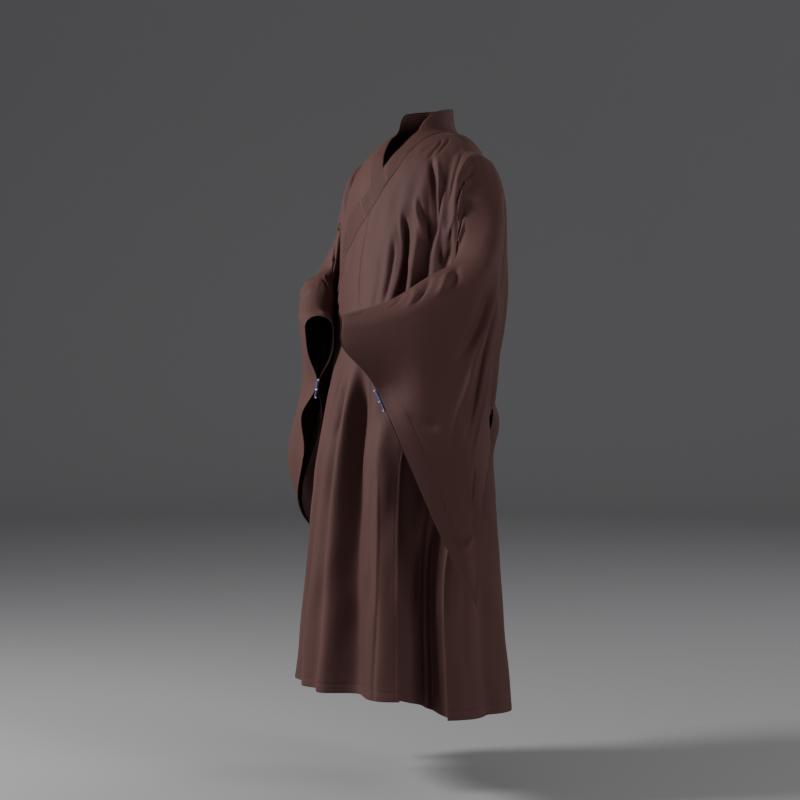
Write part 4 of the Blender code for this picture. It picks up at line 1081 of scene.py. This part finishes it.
def sleeve_shells(finish):
    """Each sleeve in one piece, folded over the arm, from the front layer's bottom seam to the back one's."""
    made, edges = {}, {}
    scale = (METRES_PER_STATION, METRES_PER_SHARE)
    plan = (("right", 0.0, 1.0, "cuff"), ("top", 0.0, 1.0, "seam"), ("bottom", 0.0, 1.0, "seam"))
    across = shares_with_lines(SLEEVE_ALONG_COUNT * SLEEVE_FINE_ACROSS, 0.50, plan, "left", "right")
    rows = (ARMHOLE_COUNT + UNDERARM_COUNT) * SLEEVE_FINE_DOWN
    down = shares_with_lines(rows, METRES_PER_SHARE, plan, "none", "bottom")
    across, down = np.meshgrid(across, down)
    for side_name, sign in (("left", 1), ("right", -1)):
        layers = {}
        for layer_name, side in (("front", -1), ("back", 1)):
            station = SLEEVE_START + (SLEEVE_STATIONS - SLEEVE_START) * across
            places, outward = sleeve_places(station, down, side, sign)
            name = f"{side_name}_{layer_name}"
            cloth_at = np.stack((station, down), axis=-1) * scale
            depth = crease_depth(SLEEVE_CREASES[name], cloth_at[..., 0], cloth_at[..., 1], scale)
            depth *= smooth(cloth_at[..., 0] / 0.05)
            depth += sleeve_waves(cloth_at, side, sign)
            places = places + grid_normals(places, outward) * depth[..., None]
            edges[name] = places[:, -1]
            layers[layer_name] = (places, outward, cloth_at * (1.0, side))
        joined_up = [np.concatenate((f[::-1], b[1:])) for f, b in zip(layers["front"], layers["back"])]
        places, outward, cloth_at = joined_up
        middle = len(down) - 1
        outward[middle] = outward[middle - 1] + outward[middle + 1]
        places = finished_edges(places, outward, plan)
        made[side_name] = shell(f"sleeve_{side_name}_cloth", places, cloth_at, finish)
    return made, edges


def sleeve_waves(cloth_at, side, sign):
    """Slight unevenness of a sleeve's layer, none where it is sewn."""
    across, down = cloth_at[..., 0], cloth_at[..., 1]
    depth = 0.0012 * np.sin(across * 19.0 + down * 9.0 + 1.3 * side + sign)
    depth += 0.0009 * np.sin(across * 33.0 - down * 14.0 + 2.1 * sign)
    depth += 0.0006 * np.sin(across * 51.0 + down * 27.0 + 0.7 * side)
    width, length = across.max(), down.max()
    inside = smooth(across / 0.06) * smooth((width - across) / 0.03)
    return depth * inside * smooth(down / 0.05) * smooth((length - down) / 0.05)


# The cords at the cuffs

BEAD_RADIUS = 0.0023
CORD_TURNS = 5
CORD_STRANDS = 3
STRAND_AWAY = 0.0018
STRAND_RADIUS = 0.0015


def cuff_trims(edges, cord_finish, bead_finish):
    """A short blue cord with three white beads, sewn along the cuff edges where they are drawn together."""
    made = {}
    for side_name, sign in (("left", 1), ("right", -1)):
        front, back = edges[f"{side_name}_front"], edges[f"{side_name}_back"]
        middle = (front + back) / 2
        shares = np.linspace(0, 1, len(middle))

        def at(share):
            return Vector([np.interp(share, shares, middle[:, c]) for c in range(3)])

        top, low = at(TIE_SHARE - 0.035), at(TIE_SHARE + 0.045)
        along = (low - top).normalized()
        one = np.array([SLEEVE_STATIONS - 0.2])
        inner = Vector(sleeve_places(one, np.array([TIE_SHARE]), 1, sign)[0][0].tolist())
        out = top - inner
        out = (out - along * out.dot(along)).normalized()
        edge = at(TIE_SHARE + 0.005) if sign > 0 else (top + low) / 2
        centre = edge + out * (TIE_RADIUS + TIE_GAP) - Vector((0.0, 0.0, MOUNT_HEIGHT))
        side = along.cross(out).normalized()
        cord = twisted_cord(f"cuff_cord_{side_name}", centre, along, out, side, cord_finish)
        beads = bead_row(f"cuff_beads_{side_name}", centre, along, out, bead_finish)
        made[side_name] = (cord, beads)
    return made


def link(name, shape, finish):
    mesh = bpy.data.meshes.new(name)
    shape.to_mesh(mesh)
    shape.free()
    mesh.shade_smooth()
    mesh.materials.append(finish)
    piece = bpy.data.objects.new(name, mesh)
    bpy.context.scene.collection.objects.link(piece)
    return piece


def twisted_cord(name, centre, along, out, side, finish):
    """Strands twisted round each other: a small ring for each, spun along the cord and closed at its ends."""
    shape = bmesh.new()
    to_world = Matrix((side, out, along)).transposed()
    pitch = TIE_LENGTH / CORD_TURNS
    lean = math.atan2(2 * math.pi * STRAND_AWAY, pitch)
    for strand in range(CORD_STRANDS):
        about = Matrix.Rotation(2 * math.pi * strand / CORD_STRANDS, 4, "Z")
        start = Matrix.Translation((STRAND_AWAY, 0.0, -TIE_LENGTH / 2)) @ Matrix.Rotation(-lean, 4, "X")
        ring = bmesh.ops.create_circle(shape, segments=8, radius=STRAND_RADIUS, matrix=about @ start)["verts"]
        steps = CORD_TURNS * 12
        bmesh.ops.spin(
            shape, geom=ring + list({edge for point in ring for edge in point.link_edges}), cent=(0, 0, 0),
            axis=(0, 0, 1), dvec=(0, 0, TIE_LENGTH / steps), angle=2 * math.pi * CORD_TURNS, steps=steps,
        )
    bmesh.ops.holes_fill(shape, edges=[edge for edge in shape.edges if edge.is_boundary], sides=8)
    bmesh.ops.recalc_face_normals(shape, faces=shape.faces)
    bmesh.ops.transform(shape, matrix=Matrix.Translation(centre) @ to_world.to_4x4(), verts=shape.verts)
    return link(name, shape, finish)


def bead_row(name, centre, along, out, finish):
    shape = bmesh.new()
    for step, aside in ((-0.5, 0.2), (0.02, 0.5), (0.46, 0.0)):
        made = bmesh.ops.create_uvsphere(shape, u_segments=20, v_segments=14, radius=BEAD_RADIUS)
        side = along.cross(out) * (BEAD_RADIUS * aside)
        place = centre + along * (TIE_LENGTH * step) + out * (STRAND_AWAY + STRAND_RADIUS * 0.9) + side
        bmesh.ops.translate(shape, verts=made["verts"], vec=place)
    return link(name, shape, finish)


# Stitches

def stitches(name, rows, finish, length=STITCH_LENGTH, width=STITCH_WIDTH, pitch=STITCH_PITCH):
    """Short rounded stitches along rows of places, just standing out of the cloth."""
    shape = bmesh.new()
    for line, facing in rows:
        steps = np.linalg.norm(np.diff(line, axis=0), axis=-1)
        far = np.concatenate(([0.0], np.cumsum(steps)))
        at = (np.arange(int(far[-1] / pitch)) + 0.5) * pitch
        row = bmesh.new()
        for distance in at:
            ends = [
                [np.interp(distance + d, far, line[:, c]) for c in range(3)] for d in (-pitch / 2, pitch / 2)
            ]
            out = Vector([np.interp(distance, far, facing[:, c]) for c in range(3)]).normalized()
            along = (Vector(ends[1]) - Vector(ends[0])).normalized()
            middle = (Vector(ends[0]) + Vector(ends[1])) / 2 - Vector((0.0, 0.0, MOUNT_HEIGHT))
            turn = Matrix((along, out.cross(along), out)).transposed().to_4x4()
            size = Matrix.Diagonal((length / 2, width / 2, width * 0.45, 1.0))
            place = Matrix.Translation(middle + out * (SHELL / 2)) @ turn @ size
            bmesh.ops.create_icosphere(row, subdivisions=1, radius=1.0, matrix=place)
        mesh = bpy.data.meshes.new("row")
        row.to_mesh(mesh)
        row.free()
        shape.from_mesh(mesh)
        bpy.data.meshes.remove(mesh)
    return link(name, shape, finish)


def collar_rows(places, along, distances):
    """Rows across the left band at distances along it, as places and normals."""
    normals = grid_normals(places, places - (0.0, 0.0, 1.3))
    rows = []
    for distance in distances:
        k = int(np.searchsorted(along, distance))
        rows.append((places[2:-2, k] + normals[2:-2, k] * 0.0004, normals[2:-2, k]))
    return rows


# Finishes

def new_group(name, inputs, outputs):
    group = bpy.data.node_groups.new(name, "ShaderNodeTree")
    for label, value in inputs:
        socket = group.interface.new_socket(label, in_out="INPUT", socket_type="NodeSocketFloat")
        socket.default_value = value
    for label, kind in outputs:
        group.interface.new_socket(label, in_out="OUTPUT", socket_type=kind)
    nodes = group.nodes
    return group, nodes.new("NodeGroupInput"), nodes.new("NodeGroupOutput")


def joined(group, a, b):
    group.links.new(a, b)


def math_node(group, operation, *values):
    node = group.nodes.new("ShaderNodeMath")
    node.operation = operation
    for socket, value in zip(node.inputs, values):
        if isinstance(value, (int, float)):
            socket.default_value = value
        else:
            group.links.new(value, socket)
    return node.outputs[0]


def weave_group():
    """A plain weave on the cloth's own map: raised threads, with their slight unevenness."""
    group, inputs, outputs = new_group(
        "plain_weave",
        (("Threads per metre", 2200.0), ("Slub", 0.35)),
        (("Height", "NodeSocketFloat"), ("Mottle", "NodeSocketFloat")),
    )
    place = group.nodes.new("ShaderNodeUVMap")
    place.uv_map = "cloth"
    split = group.nodes.new("ShaderNodeSeparateXYZ")
    joined(group, place.outputs["UV"], split.inputs[0])
    waves = []
    for axis in (0, 1):
        turned_at = math_node(group, "MULTIPLY", split.outputs[axis], inputs.outputs["Threads per metre"])
        turned_at = math_node(group, "MULTIPLY", turned_at, math.pi)
        waves.append(math_node(group, "ABSOLUTE", math_node(group, "SINE", turned_at)))
    weave = math_node(group, "MAXIMUM", *waves)
    slub = group.nodes.new("ShaderNodeTexNoise")
    slub.inputs["Scale"].default_value = 60.0
    slub.inputs["Detail"].default_value = 3.0
    stretch = group.nodes.new("ShaderNodeMapping")
    stretch.inputs["Scale"].default_value = (1.0, 9.0, 1.0)
    joined(group, place.outputs["UV"], stretch.inputs["Vector"])
    joined(group, stretch.outputs["Vector"], slub.inputs["Vector"])
    lifted = math_node(group, "MULTIPLY", slub.outputs["Fac"], inputs.outputs["Slub"])
    joined(group, math_node(group, "ADD", weave, lifted), outputs.inputs["Height"])
    joined(group, slub.outputs["Fac"], outputs.inputs["Mottle"])
    return group


def crease_and_painted_shade_group():
    """Fine soft creasing of worn cloth, longer down the cloth than across it, also given out as painted
    shade.
    """
    group, inputs, outputs = new_group(
        "soft_creasing_and_painted_shade", (("Scale", 9.0),), (("Height", "NodeSocketFloat"), ("Shade", "NodeSocketFloat"))
    )
    place = group.nodes.new("ShaderNodeTexCoord")
    stretch = group.nodes.new("ShaderNodeMapping")
    stretch.inputs["Scale"].default_value = (1.0, 1.0, 0.35)
    joined(group, place.outputs["Object"], stretch.inputs["Vector"])
    noise = group.nodes.new("ShaderNodeTexNoise")
    noise.inputs["Detail"].default_value = 4.0
    noise.inputs["Roughness"].default_value = 0.5
    noise.inputs["Distortion"].default_value = 0.4
    joined(group, stretch.outputs["Vector"], noise.inputs["Vector"])
    joined(group, inputs.outputs["Scale"], noise.inputs["Scale"])
    joined(group, noise.outputs["Fac"], outputs.inputs["Height"])
    # The crease noise again, as painted shade: the colour darkens where the creases sink.
    joined(group, noise.outputs["Fac"], outputs.inputs["Shade"])
    return group


def quilting_group():
    """Fine lines along the collar, where its rows of stitches press the cloth in, as the mask of the painted
    shade.
    """
    group, inputs, outputs = new_group(
        "quilting", (("Lines per metre", QUILTED_ROWS / 0.055),), (("Line", "NodeSocketFloat"),)
    )
    place = group.nodes.new("ShaderNodeUVMap")
    place.uv_map = "cloth"
    split = group.nodes.new("ShaderNodeSeparateXYZ")
    joined(group, place.outputs["UV"], split.inputs[0])
    turned_at = math_node(group, "MULTIPLY", split.outputs[1], inputs.outputs["Lines per metre"])
    turned_at = math_node(group, "MULTIPLY", turned_at, math.pi)
    away = math_node(group, "ABSOLUTE", math_node(group, "SINE", turned_at))
    line = group.nodes.new("ShaderNodeMapRange")
    line.interpolation_type = "SMOOTHSTEP"
    for label, value in (("From Min", 0.10), ("From Max", 0.60), ("To Min", 1.0), ("To Max", 0.0)):
        line.inputs[label].default_value = value
    joined(group, away, line.inputs["Value"])
    joined(group, line.outputs["Result"], outputs.inputs["Line"])
    return group


def quilted(material, quilting):
    """Paint shade into the finish along the pressed-in lines of quilting."""
    tree = material.node_tree
    shader = tree.nodes["Principled BSDF"]
    lines = place_group(material, quilting, {"Lines per metre": QUILTED_ROWS / 0.055})
    plain = shader.inputs["Base Color"].links[0].from_socket
    mix = tree.nodes.new("ShaderNodeMix")
    mix.data_type = "RGBA"
    # Painted shade along the quilting lines, where the cloth is pressed in.
    mix.inputs["B"].default_value = (0.022, 0.009, 0.008, 1.0)
    tree.links.new(lines.outputs["Line"], mix.inputs["Factor"])
    tree.links.new(plain, mix.inputs["A"])
    tree.links.new(mix.outputs["Result"], shader.inputs["Base Color"])


def place_group(material, group, values):
    node = material.node_tree.nodes.new("ShaderNodeGroup")
    node.node_tree = group
    for label, value in values.items():
        node.inputs[label].default_value = value
    return node


def mixed_colour(tree, factor, dark, light):
    mix = tree.nodes.new("ShaderNodeMix")
    mix.data_type = "RGBA"
    tree.links.new(factor, mix.inputs["Factor"])
    mix.inputs["A"].default_value = (*dark, 1.0)
    mix.inputs["B"].default_value = (*light, 1.0)
    return mix.outputs["Result"]


def bumped(tree, height, distance, strength, before=None):
    bump = tree.nodes.new("ShaderNodeBump")
    bump.inputs["Distance"].default_value = distance
    bump.inputs["Strength"].default_value = strength
    tree.links.new(height, bump.inputs["Height"])
    if before:
        tree.links.new(before, bump.inputs["Normal"])
    return bump.outputs["Normal"]


def cloth_finish(name, weave, creasing, dark, light, sheen, roughness):
    material = bpy.data.materials.new(name)
    material.use_nodes = True
    tree = material.node_tree
    shader = tree.nodes["Principled BSDF"]
    threads = place_group(material, weave, {"Threads per metre": 2200.0, "Slub": 0.35})
    folds = place_group(material, creasing, {"Scale": 9.0})
    # Painted shade: the colour mixes the weave's mottle with the crease noise, darker in the crease troughs.
    blend = tree.nodes.new("ShaderNodeMath")
    blend.operation = "MULTIPLY_ADD"
    tree.links.new(threads.outputs["Mottle"], blend.inputs[0])
    blend.inputs[1].default_value = 0.5
    tree.links.new(folds.outputs["Shade"], blend.inputs[2])
    tree.links.new(mixed_colour(tree, blend.outputs[0], dark, light), shader.inputs["Base Color"])
    soft = bumped(tree, folds.outputs["Height"], 0.006, 0.35)
    tree.links.new(bumped(tree, threads.outputs["Height"], 0.00012, 0.5, soft), shader.inputs["Normal"])
    shader.inputs["Roughness"].default_value = roughness
    shader.inputs["Specular IOR Level"].default_value = 0.25
    shader.inputs["Sheen Weight"].default_value = sheen
    shader.inputs["Sheen Roughness"].default_value = 0.45
    shader.inputs["Sheen Tint"].default_value = (0.85, 0.62, 0.58, 1.0)
    return material


def plain_finish(name, colour, roughness, coat=0.0, sheen=0.0):
    material = bpy.data.materials.new(name)
    material.use_nodes = True
    tree = material.node_tree
    shader = tree.nodes["Principled BSDF"]
    noise = tree.nodes.new("ShaderNodeTexNoise")
    noise.inputs["Scale"].default_value = 900.0
    place = tree.nodes.new("ShaderNodeTexCoord")
    tree.links.new(place.outputs["Object"], noise.inputs["Vector"])
    dark = tuple(c * 0.75 for c in colour)
    tree.links.new(mixed_colour(tree, noise.outputs["Fac"], dark, colour), shader.inputs["Base Color"])
    shader.inputs["Roughness"].default_value = roughness
    shader.inputs["Coat Weight"].default_value = coat
    shader.inputs["Sheen Weight"].default_value = sheen
    return material


# The room, the light and the camera

def stage_bowl():
    """A pale floor that curves up all round, far outside the views."""
    shape = bmesh.new()
    profile = [(0.0, 0.0), (FLOOR_RADIUS, 0.0)]
    for a in np.linspace(0.15, math.pi / 2, 12):
        profile.append((FLOOR_RADIUS + FLOOR_CURVE * math.sin(a), FLOOR_CURVE - FLOOR_CURVE * math.cos(a)))
    profile.append((FLOOR_RADIUS + FLOOR_CURVE, FLOOR_TOP))
    points = [shape.verts.new((x, 0.0, z - MOUNT_HEIGHT)) for x, z in profile]
    edges = [shape.edges.new(pair) for pair in zip(points, points[1:])]
    bmesh.ops.spin(
        shape, geom=points + edges, cent=(0, 0, 0), axis=(0, 0, 1), angle=2 * math.pi,
        steps=96, use_merge=True,
    )
    bmesh.ops.remove_doubles(shape, verts=shape.verts, dist=0.0001)
    bmesh.ops.recalc_face_normals(shape, faces=shape.faces)
    material = bpy.data.materials.new("pale_floor")
    material.use_nodes = True
    shader = material.node_tree.nodes["Principled BSDF"]
    shader.inputs["Base Color"].default_value = FLOOR_COLOUR
    shader.inputs["Roughness"].default_value = 0.9
    floor = link("pale_floor", shape, material)
    return floor


def area_light(name, place, aim, size, power):
    data = bpy.data.lights.new(name, "AREA")
    data.shape = "DISK"
    data.size = size
    data.energy = power
    lamp = bpy.data.objects.new(name, data)
    lamp.location = place
    lamp.rotation_mode = "QUATERNION"
    lamp.rotation_quaternion = (Vector(aim) - Vector(place)).to_track_quat("-Z", "Y")
    lamp.visible_camera = False
    bpy.context.scene.collection.objects.link(lamp)


def studio():
    for name, (place, aim, size, power) in LAMPS.items():
        area_light(name, place, aim, size, power)
    world = bpy.data.worlds.new("studio")
    world.use_nodes = True
    world.node_tree.nodes["Background"].inputs["Color"].default_value = ROOM_COLOUR
    world.node_tree.nodes["Background"].inputs["Strength"].default_value = ROOM_STRENGTH
    bpy.context.scene.world = world


def camera():
    data = bpy.data.cameras.new("camera")
    seen = bpy.data.objects.new("camera", data)
    bpy.context.scene.collection.objects.link(seen)
    focal_pixels = PIXELS_PER_METRE * VIEW_DISTANCE
    data.sensor_width = SENSOR
    data.lens = focal_pixels / PHOTO_PIXELS * SENSOR
    a = math.radians(VIEW_AZIMUTH)
    seen.location = (math.sin(a) * VIEW_DISTANCE, -math.cos(a) * VIEW_DISTANCE, VIEW_HEIGHT - MOUNT_HEIGHT)
    ahead, right = Vector((-math.sin(a), math.cos(a), 0.0)), Vector((math.cos(a), math.sin(a), 0.0))
    look = ahead - right * (AXIS_PIXEL[0] / focal_pixels) - Vector((0, 0, 1)) * (AXIS_PIXEL[1] / focal_pixels)
    seen.rotation_mode = "QUATERNION"
    seen.rotation_quaternion = look.to_track_quat("-Z", "Y")
    bpy.context.scene.camera = seen


def main():
    weave, creasing = weave_group(), crease_and_painted_shade_group()
    brown = cloth_finish(
        "brown_cloth", weave, creasing, BROWN_DARK, BROWN_LIGHT, CLOTH_SHEEN, CLOTH_ROUGHNESS
    )
    band = cloth_finish(
        "collar_cloth", weave, creasing, COLLAR_DARK, COLLAR_LIGHT, CLOTH_SHEEN, CLOTH_ROUGHNESS
    )
    # Painted shade along the collar's quilting lines.
    quilted(band, quilting_group())
    thread = plain_finish("brown_thread", THREAD_BROWN, 0.6)
    pale_thread = plain_finish("pale_thread", THREAD_PALE, 0.5)
    cord = plain_finish("blue_cord", CORD_BLUE, 0.45, sheen=0.3)
    bead = plain_finish("white_bead", BEAD_WHITE, 0.22, coat=0.5)

    panels = {}
    panels.update(front_panels(brown))
    panels.update(back_panels(brown))
    panels.update(side_pleats(brown))
    bands, left_places, along = collar_bands(band)
    sleeves, edges = sleeve_shells(brown)
    trims = cuff_trims(edges, cord, bead)

    for node, piece in panels.items():
        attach(piece, "root")
        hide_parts(node)
    for side, piece in sleeves.items():
        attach(piece, "root")
        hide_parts(f"sleeve_{side}_front", f"sleeve_{side}_back")
    for node, piece in bands.items():
        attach(piece, "root")
        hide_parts(node)
    for side, (cord_piece, beads) in trims.items():
        for piece in (cord_piece, beads):
            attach(piece, "root")
        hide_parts(f"cuff_tie_{side}")
    hem_stitches = stitches("hem_stitches", stitch_rows["brown_thread"], thread)
    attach(hem_stitches, "root")
    ladder = collar_rows(left_places, along, LADDER_ROWS)
    ladder = stitches("collar_stitches", ladder, thread, 0.0030, 0.0010)
    lines = collar_rows(left_places, along, PALE_LINES)
    lines = stitches("collar_lines", lines, pale_thread, 0.0036, 0.0014)
    for piece in (ladder, lines):
        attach(piece, "root")
    stage_bowl()
    studio()
    camera()


main()
